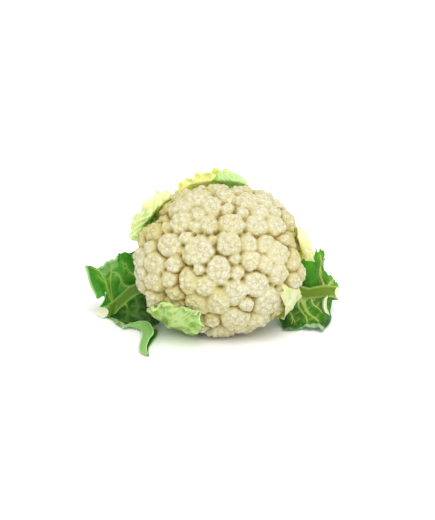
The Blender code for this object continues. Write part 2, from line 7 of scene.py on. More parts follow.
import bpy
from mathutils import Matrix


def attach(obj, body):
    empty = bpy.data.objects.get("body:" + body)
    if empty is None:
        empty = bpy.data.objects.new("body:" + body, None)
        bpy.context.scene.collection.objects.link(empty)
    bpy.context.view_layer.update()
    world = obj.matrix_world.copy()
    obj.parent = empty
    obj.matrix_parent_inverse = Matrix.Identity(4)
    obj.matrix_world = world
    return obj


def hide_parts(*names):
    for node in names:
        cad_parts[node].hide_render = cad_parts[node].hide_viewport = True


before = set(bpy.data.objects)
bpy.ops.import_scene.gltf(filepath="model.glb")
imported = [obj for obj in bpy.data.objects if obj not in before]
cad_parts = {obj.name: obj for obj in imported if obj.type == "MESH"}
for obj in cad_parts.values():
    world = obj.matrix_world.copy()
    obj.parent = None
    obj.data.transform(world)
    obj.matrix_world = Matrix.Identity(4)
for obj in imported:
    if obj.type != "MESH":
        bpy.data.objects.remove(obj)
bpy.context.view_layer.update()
print("nodes:", ", ".join(sorted(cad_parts)))

# %% Modules and units
import math

import bmesh
import bpy
import numpy as np
from mathutils import Vector, kdtree, noise

MM = 0.001
GOLDEN_ANGLE = math.pi * (3 - math.sqrt(5))
GROWTH_SEED = 7

# %% [markdown]
# ## The head's own frame
# A cauliflower is easier to describe along its stem than along the room's axes. So the head has a frame of its
# own: right, up across the curd's face, and crown, from the stem out through the curd. It is tilted back by 30
# degrees, because the head lies on the rim of its curd and on its lower leaves.

# %% Head frame
CROWN_TILT = math.radians(30)
CENTRE_HEIGHT = 65.6 * MM
CENTRE_BACK = 32.7 * MM
UP = np.array([0, math.sin(CROWN_TILT), math.cos(CROWN_TILT)])
CROWN = np.array([0, -math.cos(CROWN_TILT), math.sin(CROWN_TILT)])
HEAD_CENTRE = np.array([0, CENTRE_BACK, CENTRE_HEIGHT])


def to_world(points):
    points = np.asarray(points, float)
    return HEAD_CENTRE + points[..., :1] * [1, 0, 0] + points[..., 1:2] * UP + points[..., 2:3] * CROWN


def to_head(points):
    points = np.asarray(points, float) - HEAD_CENTRE
    return np.stack([points[..., 0], points @ UP, points @ CROWN], axis=-1)


def heading(polar, clock):
    """Unit directions: polar is the angle from the crown, clock the angle from up towards the right."""
    return np.stack(
        [np.sin(polar) * np.sin(clock), np.sin(polar) * np.cos(clock), np.cos(polar) + 0 * clock], axis=-1
    )


def unit(vectors):
    return vectors / np.maximum(np.linalg.norm(vectors, axis=-1, keepdims=True), 1e-12)


def smooth_step(t):
    t = np.clip(t, 0, 1)
    return t * t * (3 - 2 * t)


print("head centre in mm:", (HEAD_CENTRE / MM).round(1))

# %% [markdown]
# ## The curd's outer form
# All the florets together make a low dome with a rounder rim. A superellipsoid with a power a little over 2
# has that form: an ellipsoid that is slightly full at its shoulders. Its distance along any direction is one
# short formula, so everything else can be placed on it, under it or round it.

# %% Outer form of the curd
CURD_HALF_WIDTH = 84 * MM
CURD_HALF_HEIGHT = 73.5 * MM
CURD_FRONT = 58 * MM
CURD_BACK = 34 * MM
CURD_ROUNDNESS = 2.25
CURD_SEAT = 33 * MM


def half_sizes(directions):
    sizes = np.empty(directions.shape)
    sizes[..., 0] = CURD_HALF_WIDTH
    sizes[..., 1] = CURD_HALF_HEIGHT
    sizes[..., 2] = np.where(directions[..., 2] > 0, CURD_FRONT, CURD_BACK)
    return sizes


def outer_form(directions):
    """Distance from the head's centre to the smooth outer form along each direction."""
    powers = (np.abs(directions) / half_sizes(directions)) ** CURD_ROUNDNESS
    return powers.sum(axis=-1) ** (-1 / CURD_ROUNDNESS)


def outward(points):
    """Normals of the outer form at points on it."""
    sizes = half_sizes(points)
    return unit(np.sign(points) * np.abs(points / sizes) ** (CURD_ROUNDNESS - 1) / sizes)


def on_face(right, up):
    """The point of the front that lies over a place on the face."""
    used = (abs(right) / CURD_HALF_WIDTH) ** CURD_ROUNDNESS + (abs(up) / CURD_HALF_HEIGHT) ** CURD_ROUNDNESS
    return np.array([right, up, CURD_FRONT * max(0.0, 1 - used) ** (1 / CURD_ROUNDNESS)])


print("curd in mm:", round(2 * CURD_HALF_WIDTH / MM), "x", round(2 * CURD_HALF_HEIGHT / MM))

# %% [markdown]
# ## Florets
# A curd is a tree of short branches, each ending in a dome. The domes that the photograph shows clearly are
# given as right, up, radius and how far each sits below the outer form. The others fill what is left:
# points of a golden spiral are tried in turn, and one is kept where it doesn't crowd those that are there.
# Where a leaf presses on the curd, the florets under it stayed low. Each recess is such a place.

# %% Grow the florets
FACE_FLORETS = (
    (-20, -1, 15, 0), (8, 6, 12.5, 0), (-1, -19, 13, 0), (12, 26, 13, 0.8), (-11, 25, 8.5, 0),
    (-7, 46, 10.5, 0), (6, 57, 12, 1), (-22, 58, 13, 0.8), (-38, 47, 14, 0.8), (-37, 28, 13, 1),
    (-25, 23, 7, 1), (-49, 6, 12.5, 0.8), (-68, 20, 12, 2), (-45, -13, 8, 0.5), (-64, -10, 12, 1.5),
    (-49, -27, 8, 0.5), (-66, -27, 11, 2), (-45, -40, 8.5, 1), (-29, -29, 12.5, 1), (-14, -34, 10, 0),
    (-1, -50, 11.5, 1), (-21, -50, 12, 1), (16, -40, 12.5, 1), (34, -33, 12, 0), (16, -22, 8.5, 1.5),
    (29, -12, 9.5, 1), (27, 8, 10, 1.5), (35, 25, 12, 1), (46, -48, 13, 0.5), (15, -66, 13, 0),
    (26, 53, 13, 0.8), (43, 55, 11, 1.5), (38, 40, 10, 1.5), (54, 28, 11, 1.5), (57, -1, 11.5, 0.8),
    (57, -22, 10, 1.2), (72, -7, 11, 1.5), (43, 8, 8.5, 1.2), (42, -15, 8.5, 1.5), (73, 16, 10, 2),
)
REST_FLORET_RADIUS = 16 * MM
REST_STANDS_OUT = 0.8 * MM
FILL_POLAR = math.radians(116)
FILL_SIZES = ((10.5, 13.5, 0.80), (8.0, 10.0, 0.78), (6.5, 7.5, 0.76))
FILL_PLACES = 3000
FILL_DEEPEST = 2.2 * MM
FLORET_REACH = 1.16
RECESSES = ((78, 306, 20, 11), (82, 80, 15, 14), (84, 126, 14, 4), (60, 210, 24, 4), (84, 0, 16, 2))


def recess(point):
    """How much deeper florets sit where a leaf pushes in: polar, clock, width in degrees and depth in mm."""
    deeper = 0.0
    for polar, clock, width, depth in RECESSES:
        apart = math.acos(min(1, float(unit(point) @ heading(math.radians(polar), np.radians(clock)))))
        deeper += depth * MM * math.exp(-((math.degrees(apart) / width) ** 2))
    return deeper


def golden_spiral(count):
    """Unit directions spread evenly over a sphere."""
    k = np.arange(count) + 0.5
    return heading(np.arccos(1 - 2 * k / count), k * GOLDEN_ANGLE)


def grow_florets():
    """Centres, outward normals and radii of all florets, in the head's frame."""
    rng = np.random.default_rng(GROWTH_SEED)
    centres, normals, radii = [], [], []

    def add(point, radius, depth):
        normal = outward(point)
        centres.append(point - normal * (FLORET_REACH * radius + depth + recess(point)))
        normals.append(normal)
        radii.append(radius)

    for right, up, radius, depth in FACE_FLORETS:
        add(on_face(right * MM, up * MM), radius * MM, depth * MM)
    down = unit(to_head([0, 0, 0]))
    add(down * outer_form(down), REST_FLORET_RADIUS, -REST_STANDS_OUT)
    places = [d for d in golden_spiral(FILL_PLACES) if d[2] > math.cos(FILL_POLAR)]
    for least, most, apart in FILL_SIZES:
        for direction in places:
            radius, depth = rng.uniform(least, most) * MM, rng.uniform(0, FILL_DEEPEST)
            point = direction * outer_form(direction)
            centre = point - outward(point) * (FLORET_REACH * radius + depth + recess(point))
            gaps = np.linalg.norm(np.array(centres) - centre, axis=1)
            if (gaps > apart * (np.array(radii) + radius)).all():
                add(point, radius, depth)
    return np.array(centres), np.array(normals), np.array(radii)


floret_centres, floret_normals, floret_radii = grow_florets()
print(len(floret_radii), "florets, radii in mm", (floret_radii.min() / MM).round(1), "to",
      (floret_radii.max() / MM).round(1))

# %% [markdown]
# ## Masses
# A floret isn't on its own: several share one thick branch and make a mass with shallow grooves inside it and a
# deep crevice round it. Each mass is a broad low dome under its florets. It fills the valleys between them, so
# only their tops stand out of it. The masses are given in the same way as the florets.

# %% Masses of florets
MASSES = (
    (-24, 43, 23, 3.4), (41, 40, 24, 3.4), (-70, -12, 21, 3.4), (-19, -42, 22, 2.7), (42, -5, 24, 2.6),
    (18, -66, 19, 3.4), (46, -48, 15, 2.8), (72, -8, 14, 3.2),
)
MASS_REACH = 1.05
LONE_FLORET = 100


def grow_masses():
    """Centres, normals and radii of the masses."""
    centres, normals, radii = [], [], []
    for right, up, radius, depth in MASSES:
        point = on_face(right * MM, up * MM)
        normal = outward(point)
        centres.append(point - normal * ((FLORET_REACH * radius + depth) * MM + recess(point)))
        normals.append(normal)
        radii.append(radius * MM)
    return np.array(centres), np.array(normals), np.array(radii)


mass_centres, mass_normals, mass_radii = grow_masses()
floret_tips = floret_centres + FLORET_REACH * floret_normals * floret_radii[:, None]
mass_tips = mass_centres + FLORET_REACH * mass_normals * mass_radii[:, None]
mass_gaps = np.linalg.norm(floret_tips[:, None] - mass_tips, axis=2) / mass_radii
floret_mass = np.where(
    mass_gaps.min(axis=1) < MASS_REACH, mass_gaps.argmin(axis=1), LONE_FLORET + np.arange(len(floret_radii))
)
print("florets in masses:", (floret_mass < LONE_FLORET).sum())

# %% [markdown]
# ## Buds
# Each dome carries smaller domes in the same golden-angle spiral that the real plant grows in. A bud is a ball
# sunk most of the way into its floret. A ball is cheap, and where two meet there is already the sharp groove
# that a real curd has.

# %% Grow the buds
BUD_RADIUS = 3.5 * MM
BUD_CAP = math.radians(98)
BUD_COVER = 0.37
BUD_SINKS = 0.6
BUD_UNEVEN = (0.8, 1.2)
BUD_SLIP = 0.04
BUD_TURN = 0.12
DOME_WIDER = 1.1
DOME_LOWER = 0.8
DOME_POWER = 2.7


def side_axes(normal):
    helper = np.array([0.0, 0, 1]) if abs(normal[2]) < 0.9 else np.array([0.0, 1, 0])
    first = unit(np.cross(normal, helper))
    return first, np.cross(normal, first)


def dome_profile(polar):
    """Width and height of a floret's dome, which is lower and fuller than a ball but has the same tip."""
    level = DOME_WIDER * np.abs(np.sin(polar)) ** (2 / DOME_POWER)
    height = DOME_LOWER * np.sign(np.cos(polar)) * np.abs(np.cos(polar)) ** (2 / DOME_POWER)
    return level, height + 1 - DOME_LOWER


def on_dome(centre, normal, radius, directions):
    """Places on a floret's dome along directions from its middle."""
    up = directions @ normal
    across = unit(directions - up[:, None] * normal)
    level, height = dome_profile(np.arccos(np.clip(up, -1, 1)))
    return centre + radius * (level[:, None] * across + height[:, None] * normal)


def grow_buds(centre, normal, radius, rng):
    """Centres and radii of the buds on one floret, from its tip outwards."""
    dome = FLORET_REACH * radius - BUD_RADIUS
    fine = np.linspace(0, BUD_CAP, 400)
    level, height = dome_profile(fine)
    area = np.cumsum(np.append(0, np.hypot(np.diff(level), np.diff(height)) * (level[1:] + level[:-1]) / 2))
    count = round(BUD_COVER * 2 * math.pi * area[-1] * (dome / BUD_RADIUS) ** 2)
    first, second = side_axes(normal)
    k = np.arange(count)
    polar = np.interp((k + 0.5) / count * area[-1], area, fine) + rng.uniform(-BUD_SLIP, BUD_SLIP, count)
    turn = k * GOLDEN_ANGLE + rng.uniform(0, 2 * math.pi) + rng.uniform(-BUD_TURN, BUD_TURN, count)
    across = np.sin(polar)[:, None] * (np.cos(turn)[:, None] * first + np.sin(turn)[:, None] * second)
    directions = np.cos(polar)[:, None] * normal + across
    return on_dome(centre, normal, dome, directions), BUD_RADIUS * rng.uniform(*BUD_UNEVEN, count)


bud_rng = np.random.default_rng(GROWTH_SEED)
grown = [grow_buds(c, n, r, bud_rng) for c, n, r in zip(floret_centres, floret_normals, floret_radii)]
bud_centres = np.vstack([centres for centres, _ in grown])
bud_radii = np.concatenate([radii for _, radii in grown])
print(len(bud_radii), "buds, about", (2 * bud_radii.mean() / MM).round(1), "mm across")

# %% [markdown]
# ## Stalks and core
# Behind the florets, the branches run together on the stem. They are rows of balls that shrink towards the
# seat, and a plain core fills the middle, where nobody looks.

# %% Stalks and core
STALK_BEADS = 14
STALK_TOP_SHARE = 0.5
STALK_BASE_RADIUS = 8.5 * MM
STALK_BASE_RING = 12 * MM
STALK_BASE_BACK = 22 * MM
SEAT_BALL_BACK = 12 * MM
SEAT_BALL_RADIUS = 21 * MM
CORE_SHARES = (0.76, 0.76, 0.72, 0.45)


def stalk_beads():
    """Closely spaced balls along the stalk of each floret low on the curd, down to the seat."""
    balls, sizes = [np.array([0, 0, -SEAT_BALL_BACK])], [SEAT_BALL_RADIUS]
    for centre, radius in zip(floret_centres, floret_radii):
        ring = math.hypot(centre[0], centre[1])
        if ring < 2 * STALK_BASE_RING:
            continue
        share = STALK_BASE_RING / ring
        base = np.array([centre[0] * share, centre[1] * share, -STALK_BASE_BACK])
        for t in np.linspace(0, 1, STALK_BEADS):
            balls.append(centre + (base - centre) * t)
            sizes.append(STALK_TOP_SHARE * radius * (1 - t) + STALK_BASE_RADIUS * t)
    return np.array(balls), np.array(sizes)


def unit_ball(subdivisions):
    bm = bmesh.new()
    bmesh.ops.create_icosphere(bm, subdivisions=subdivisions, radius=1)
    points = np.array([v.co for v in bm.verts])
    faces = np.array([[v.index for v in f.verts] for f in bm.faces])
    bm.free()
    return points, faces


def ball_meshes(centres, radii, subdivisions):
    """Points and faces of many balls at once."""
    points, faces = unit_ball(subdivisions)
    first = len(points) * np.arange(len(centres))[:, None, None]
    return (centres[:, None] + radii[:, None, None] * points).reshape(-1, 3), (faces + first).reshape(-1, 3)


def dome_meshes():
    """The florets' own domes, which the buds stand out of, and the masses under them."""
    directions, faces = unit_ball(4)
    reach = FLORET_REACH * floret_radii - BUD_RADIUS * BUD_SINKS
    points = [on_dome(c, n, r, directions) for c, n, r in zip(floret_centres, floret_normals, reach)]
    masses = zip(mass_centres, mass_normals, FLORET_REACH * mass_radii)
    points += [on_dome(c, n, r, directions) for c, n, r in masses]
    first = len(directions) * np.arange(len(points))[:, None, None]
    return np.vstack(points), (faces + first).reshape(-1, 3)


def core_mesh():
    """A ball pressed to a part of the outer form, to fill the middle."""
    points, faces = unit_ball(5)
    wide, tall, front, back = CORE_SHARES
    shares = np.array([(wide, tall, front if p[2] > 0 else back) for p in points])
    powers = (np.abs(points) / (half_sizes(points) * shares)) ** 2
    return points * (powers.sum(axis=1) ** -0.5)[:, None], faces


bead_centres, bead_radii = stalk_beads()
print(len(bead_radii), "balls in the stalks")

# %% [markdown]
# ## One skin over all the balls
# Thousands of overlapping balls aren't one surface yet. The Remesh modifier in voxel mode walks round the
# outside of all of them and lays one even skin there. Its voxel size is the finest detail that stays, here a
# little over 1 mm, about a seventh of a bud.

# %% Weld the balls into one skin
CURD_VOXEL = 1.05 * MM


def mesh_object(name, points, faces):
    mesh = bpy.data.meshes.new(name)
    mesh.from_pydata(np.asarray(points).tolist(), [], np.asarray(faces).tolist())
    made = bpy.data.objects.new(name, mesh)
    bpy.context.scene.collection.objects.link(made)
    return made


def get_points(mesh):
    points = np.empty(3 * len(mesh.vertices))
    mesh.vertices.foreach_get("co", points)
    return points.reshape(-1, 3)


def set_points(mesh, points):
    mesh.vertices.foreach_set("co", np.asarray(points, float).ravel())
    mesh.update()


def weld(parts, voxel):
    """One skin round several closed meshes, each given as points and faces."""
    counts = np.cumsum([0] + [len(points) for points, _ in parts])
    points = np.vstack([points for points, _ in parts])
    faces = np.vstack([faces + first for (_, faces), first in zip(parts, counts)])
    lump = mesh_object("lump", points, faces)
    skin = lump.modifiers.new("skin", "REMESH")
    skin.mode = "VOXEL"
    skin.voxel_size = voxel
    mesh = bpy.data.meshes.new_from_object(lump.evaluated_get(bpy.context.evaluated_depsgraph_get()))
    bpy.data.objects.remove(lump)
    return mesh


curd_mesh = weld(
    [
        core_mesh(),
        dome_meshes(),
        ball_meshes(bud_centres, bud_radii, 2),
        ball_meshes(bead_centres, bead_radii, 3),
    ],
    CURD_VOXEL,
)
print("curd skin:", len(curd_mesh.polygons), "faces")

# %% [markdown]
# ## Crevices
# Between two florets the real curd has a narrow, deep crevice. For each point of the skin, the distance to its
# own floret is set against the distance to the next one: where the two are equal, a crevice runs. A corner is
# where a third floret is as near, and there it goes deepest. The same measure one size down gives the fine
# grooves between buds. All are kept as attributes, for the colour. The lumps are small bunches of flower buds.

# %% Cut the crevices
SEAM_WIDTH = 0.8 * MM
SEAM_DEPTH = 1.6 * MM
SEAM_PATCH = 24 * MM
SEAM_EVEN = 0.65
SEAM_SWING = 1.4
SEAM_LIMITS = (0.1, 1.4)
IN_MASS_SHARE = 0.6
CORNER_WIDTH = 1.2 * MM
CORNER_DEPTH = 3.0 * MM
BUD_SEAM_WIDTH = 0.5 * MM
BUD_SEAM_DEPTH = 0.2 * MM
LUMP_SIZE = 3.4 * MM
LUMP_HEIGHT = 0.9 * MM
LUMP_MIDDLE = 0.4
TOP_END = math.radians(118)
TOP_FADE = math.radians(14)


def floret_gaps(points):
    """Half of how much farther the second and the third floret are than the nearest, and which these are."""
    distances = np.empty((len(points), len(floret_radii)), np.float32)
    for column, (centre, normal, radius) in enumerate(zip(floret_centres, floret_normals, floret_radii)):
        lifted = points - centre - normal * (1 - DOME_LOWER) * FLORET_REACH * radius
        up = lifted @ normal
        level = np.linalg.norm(lifted - up[:, None] * normal, axis=1)
        powers = (level / DOME_WIDER) ** DOME_POWER + (np.abs(up) / DOME_LOWER) ** DOME_POWER
        distances[:, column] = powers ** (1 / DOME_POWER) - FLORET_REACH * radius
    order = np.argsort(distances, axis=1)[:, :3]
    least = np.take_along_axis(distances, order, axis=1)
    return (least[:, 1] - least[:, 0]) / 2, (least[:, 2] - least[:, 0]) / 2, order


def bud_gap(points):
    """The same measure between buds, with a tree that finds the nearest ones fast."""
    tree = kdtree.KDTree(len(bud_centres))
    for index, centre in enumerate(bud_centres):
        tree.insert(centre, index)
    tree.balance()
    gaps = np.empty(len(points))
    for place, point in enumerate(points):
        reach = sorted(distance - bud_radii[index] for _, index, distance in tree.find_n(point, 4))
        gaps[place] = (reach[1] - reach[0]) / 2
    return gaps


curd_points = get_points(curd_mesh)
floret_gap, corner_gap, near_florets = floret_gaps(curd_points)
own_floret = near_florets[:, 0]
same_mass = floret_mass[near_florets[:, 0]] == floret_mass[near_florets[:, 1]]
patch = np.array([noise.noise(Vector(p) / SEAM_PATCH + Vector((3, 1, 2))) for p in curd_points])
seam = np.exp(-((floret_gap / SEAM_WIDTH) ** 2)) * np.clip(SEAM_EVEN + SEAM_SWING * patch, *SEAM_LIMITS)
seam = seam * np.where(same_mass, IN_MASS_SHARE, 1)
corner = np.exp(-((corner_gap / CORNER_WIDTH) ** 2)) * np.where(same_mass, IN_MASS_SHARE, 1)
bud_seam = np.exp(-((bud_gap(curd_points) / BUD_SEAM_WIDTH) ** 2))
away = unit(curd_points)
polar_angle = np.arccos(away[:, 2])
on_top = smooth_step((TOP_END - polar_angle) / TOP_FADE)
lumps = np.array([LUMP_MIDDLE - noise.voronoi(Vector(p) / LUMP_SIZE)[0][0] for p in curd_points]) * LUMP_HEIGHT
cut = seam * SEAM_DEPTH + corner * CORNER_DEPTH + bud_seam * BUD_SEAM_DEPTH
curd_points += away * (on_top * (lumps - cut))[:, None]
sunk = (outer_form(away) - np.linalg.norm(curd_points, axis=1)) / MM
print("deepest crevice on the face in mm:", sunk[polar_angle < math.radians(70)].max().round(1))

# %% [markdown]
# ## The flat rest
# The head stands on its curd with a small flat spot, on the stem's seat with a larger one, and one small leaf
# is pinched under it. The skin is pressed flat there.

# %% Seat, rest and finished curd
LEAF_BED_HEIGHT = 1.7 * MM
LEAF_BED_CLOCK = (math.radians(190), math.radians(240))
FLORET_EDGE = 5 * MM

curd_points[:, 2] = np.maximum(curd_points[:, 2], -CURD_SEAT)
clock_angle = np.arctan2(curd_points[:, 0], curd_points[:, 1]) % (2 * math.pi)
on_leaf = (clock_angle > LEAF_BED_CLOCK[0]) & (clock_angle < LEAF_BED_CLOCK[1])
curd_world = to_world(curd_points)
curd_world[:, 2] = np.maximum(curd_world[:, 2], np.where(on_leaf, LEAF_BED_HEIGHT, 0))
set_points(curd_mesh, curd_world)


def set_attribute(mesh, name, values):
    mesh.attributes.new(name, "FLOAT", "POINT").data.foreach_set("value", np.asarray(values, np.float32).ravel())


floret_tint = np.random.default_rng(GROWTH_SEED + 1).uniform(0, 1, len(floret_radii))
for key, values in (
    ("seam", seam), ("corner", corner), ("middle", smooth_step(floret_gap / FLORET_EDGE)), ("bud_seam", bud_seam),
    ("sunk", sunk), ("tint", floret_tint[own_floret]), ("underside", 1 - on_top),
):
    set_attribute(curd_mesh, key, values)
curd_mesh.shade_smooth()
curd = bpy.data.objects.new("curd_florets", curd_mesh)
bpy.context.scene.collection.objects.link(curd)
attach(curd, "root")
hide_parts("curd")
print("curd:", len(curd_mesh.vertices), "points")

# %% [markdown]
# ## Nodes and colours
# One function adds a node, sets its values and links its inputs, so that each material reads as a list of what
# its nodes do. Colours are written as they are picked on a screen, in sRGB, and one function turns them to the
# linear values that Blender calculates with.

# %% Helpers for materials


def linear(hex_colour):
    """An sRGB hex colour as linear red, green, blue and alpha."""
    shares = [int(hex_colour[i:i + 2], 16) / 255 for i in (1, 3, 5)]
    return (*[s / 12.92 if s <= 0.04045 else ((s + 0.055) / 1.055) ** 2.4 for s in shares], 1)


def add_node(tree, kind, inputs=None, **settings):
    """Adds a node. An input is given by its name or number, as a value or as the socket it is linked to."""
    node = tree.nodes.new(kind)
    for name, value in settings.items():
        setattr(node, name, value)
    for socket, value in (inputs or {}).items():
        if isinstance(value, bpy.types.NodeSocket):
            tree.links.new(value, node.inputs[socket])
        else:
            node.inputs[socket].default_value = value
    return node


def new_material(name):
    """A material with its shader, and the node tree to add to."""
    made = bpy.data.materials.new(name)
    made.use_nodes = True
    return made, made.node_tree, made.node_tree.nodes["Principled BSDF"]


MIX_FACTOR, MIX_A, MIX_B, MIX_OUT = 0, 6, 7, 2
print("cream as linear:", [round(c, 3) for c in linear("#f3e8c8")[:3]])

# %% [markdown]
# ## Curd: living plant tissue, dense and moist
# The curd is packed flower buds, each 2 to 3 mm across, with a dry, slightly waxy skin over moist white tissue.
# Light goes a few millimetres in and comes out warmer, which subsurface scattering gives. The buds' grain is a
# Voronoi pattern at their real spacing; its cells are darker towards their edges, which is painted shade between
# the granules, most on the middles of the florets. The cream differs a little from floret to floret, with warmer
# patches, flanks that are yellower and darker the deeper they lie (their own tone and painted shade), grooves
# between buds a little darker (painted shade) and a green tinge underneath. Crevices are brown: painted shade,
# the more the deeper they lie.

# %% Curd material
GRAIN = 2.3 * MM
FINE_GRAIN = 0.8 * MM
BLUSH_SIZE = 34 * MM
FLANK_STARTS_MM = 2.5
FLANK_ENDS_MM = 7.0
DEEP_ENDS_MM = 7.5
GROOVE_SHARE = 0.5
# painted shade between the granules: its share, and how much more it gets on the middles of the florets
GRANULE_SHADE_SHARE = 0.34
GRANULE_SHADE_IN_MIDDLE = 0.4


def curd_material():
    """Cream tissue, with attributes of the skin for where it is sunk, seamed or grained."""
    made, tree, shader = new_material("curd_tissue")
    place = add_node(tree, "ShaderNodeTexCoord").outputs["Object"]
    seam_part, corner_part, bud_part, sunk_mm, tint, under, middle = (
        add_node(tree, "ShaderNodeAttribute", attribute_name=key).outputs["Fac"]
        for key in ("seam", "corner", "bud_seam", "sunk", "tint", "underside", "middle")
    )
    grain = add_node(tree, "ShaderNodeTexVoronoi", {"Vector": place, "Scale": 1 / GRAIN}, feature="F1")
    fine = add_node(tree, "ShaderNodeTexNoise", {"Vector": place, "Scale": 1 / FINE_GRAIN, "Detail": 2.0})
    blush = add_node(tree, "ShaderNodeTexNoise", {"Vector": place, "Scale": 1 / BLUSH_SIZE, "Detail": 2.0})

    flank, deep = (
        add_node(
            tree, "ShaderNodeMapRange", {"Value": sunk_mm, "From Min": FLANK_STARTS_MM, "From Max": ends},
            interpolation_type="SMOOTHSTEP",
        ).outputs["Result"]
        for ends in (FLANK_ENDS_MM, DEEP_ENDS_MM)
    )
    cell = add_node(
        tree, "ShaderNodeMapRange", {"Value": grain.outputs["Distance"], "From Min": 0.25, "From Max": 0.75}
    )
    groove = add_node(tree, "ShaderNodeMath", {0: bud_part, 1: GROOVE_SHARE}, operation="MULTIPLY")
    warm = add_node(
        tree, "ShaderNodeMapRange", {"Value": blush.outputs["Fac"], "From Min": 0.42, "From Max": 0.68}
    )

    colour = add_node(
        tree, "ShaderNodeMix",
        {MIX_FACTOR: tint, MIX_A: linear("#e4e2ce"), MIX_B: linear("#dedbc0")}, data_type="RGBA",
    ).outputs[MIX_OUT]
    for factor, shade in (
        (warm.outputs["Result"], "#dfdab0"),  # warmer patches
        # flanks below the outer form: a yellower tone of their own, and darker as painted shade the deeper they lie
        (flank, "#d6ce8a"),  # the yellower flanks of the florets
        # painted shade in the grooves between buds
        (groove.outputs["Value"], "#ccc388"),  # grooves between buds
        (under, "#d9dcae"),  # the green tinge underneath
    ):
        colour = add_node(
            tree, "ShaderNodeMix", {MIX_FACTOR: factor, MIX_A: colour, MIX_B: linear(shade)}, data_type="RGBA"
        ).outputs[MIX_OUT]
    # painted shade: crevices and their corners go brown, the more the deeper they lie
    crevice = add_node(tree, "ShaderNodeMath", {0: seam_part, 1: corner_part}, operation="MAXIMUM")
    crevice = add_node(
        tree, "ShaderNodeMath", {0: deep, 1: crevice.outputs["Value"]}, operation="MULTIPLY", use_clamp=True,
    )
    colour = add_node(
        tree, "ShaderNodeMix",
        {MIX_FACTOR: crevice.outputs["Value"], MIX_A: colour, MIX_B: linear("#86600c")}, data_type="RGBA",
    ).outputs[MIX_OUT]
    # painted shade between the granules, darker towards each cell's edge and strongest on the florets' middles
    granule_shade_strength = add_node(
        tree, "ShaderNodeMath", {0: middle, 1: GRANULE_SHADE_IN_MIDDLE, 2: GRANULE_SHADE_SHARE}, operation="MULTIPLY_ADD"
    )
    granule_shade = add_node(
        tree, "ShaderNodeMath", {0: cell.outputs["Result"], 1: granule_shade_strength.outputs["Value"]}, operation="MULTIPLY"
    )
    colour = add_node(
        tree, "ShaderNodeMix",
        {MIX_FACTOR: granule_shade.outputs["Value"], MIX_A: colour, MIX_B: linear("#b8ad76")}, data_type="RGBA",
    ).outputs[MIX_OUT]
    tree.links.new(colour, shader.inputs["Base Color"])

    height = add_node(tree, "ShaderNodeMath", {0: fine.outputs["Fac"], 1: 0.25}, operation="MULTIPLY")
    height = add_node(
        tree, "ShaderNodeMath", {0: height.outputs["Value"], 1: grain.outputs["Distance"]}, operation="SUBTRACT"
    )
    bump = add_node(
        tree, "ShaderNodeBump", {"Strength": 0.9, "Distance": 1.1 * MM, "Height": height.outputs["Value"]}
    )
    tree.links.new(bump.outputs["Normal"], shader.inputs["Normal"])
    shader.inputs["Roughness"].default_value = 0.62
    shader.inputs["Specular IOR Level"].default_value = 0.3
    shader.inputs["Subsurface Weight"].default_value = 0.12
    shader.inputs["Subsurface Radius"].default_value = (1.0, 0.92, 0.7)
    shader.inputs["Subsurface Scale"].default_value = 2 * MM
    return made


curd_mesh.materials.append(curd_material())
print("curd grain:", GRAIN / MM, "mm")

# %% [markdown]
# ## How a leaf is made here
# A leaf is a thin sheet with a stout rib. Its middle sheet is a formula of two numbers: u runs along the leaf
# and v across it. The two faces are that sheet moved a little to either side. The rib stands out behind. The
# blade puffs up a little between the veins, as it does on any cabbage, so the veins lie in shallow valleys.

# %% Sheets and their veins
BLADE_HALF = 0.5 * MM
PUFF_HEIGHT = 0.9 * MM
PUFF_WIDTH = 3.5 * MM


def through(knots, t):
    """A smooth curve through the knots, at places t from 0 to 1 spread evenly over them."""
    knots = np.asarray(knots, float)
    place = np.clip(t, 0, 1) * (len(knots) - 1)
    start = np.minimum(place.astype(int), len(knots) - 2)
    part = (place - start)[..., None]
    before, a = knots[np.maximum(start - 1, 0)], knots[start]
    b, after = knots[start + 1], knots[np.minimum(start + 2, len(knots) - 1)]
    slope_a, slope_b = (b - before) / 2, (after - a) / 2
    return (
        (2 * part**3 - 3 * part**2 + 1) * a
        + (part**3 - 2 * part**2 + part) * slope_a
        + (3 * part**2 - 2 * part**3) * b
        + (part**3 - part**2) * slope_b
    )


def sample(grid, u, v):
    """Places on a grid of points, between its rows and columns too."""
    rows, columns = grid.shape[0] - 1, grid.shape[1] - 1
    row, column = np.clip(u, 0, 1) * rows, (np.clip(v, -1, 1) + 1) / 2 * columns
    i, j = np.minimum(row.astype(int), rows - 1), np.minimum(column.astype(int), columns - 1)
    a, b = (row - i)[:, None], (column - j)[:, None]
    near = grid[i, j] * (1 - b) + grid[i, j + 1] * b
    far = grid[i + 1, j] * (1 - b) + grid[i + 1, j + 1] * b
    return near * (1 - a) + far * a


def vein_distance(grid, veins):
    """How far each point of a sheet is outside the nearest vein's edge: negative inside the vein.
    A vein is a list of (u, v, half width in mm)."""
    least = np.full(grid.shape[:2], 1.0)
    for vein in veins:
        line = through(np.array(vein, float), np.linspace(0, 1, 4 * len(vein)))
        points, widths = sample(grid, line[:, 0], line[:, 1]), line[:, 2] * MM
        for a, b, wide_a, wide_b in zip(points, points[1:], widths, widths[1:]):
            step = b - a
            t = np.clip(((grid - a) @ step) / max(step @ step, 1e-12), 0, 1)
            gap = np.linalg.norm(grid - a - t[..., None] * step, axis=-1) - (wide_a + (wide_b - wide_a) * t)
            least = np.minimum(least, gap)
    return least


def grid_normals(grid, towards):
    """Unit normals of a sheet, on the side that faces towards."""
    normals = unit(np.cross(np.gradient(grid, axis=0), np.gradient(grid, axis=1)))
    return normals * np.sign((normals * towards).sum())


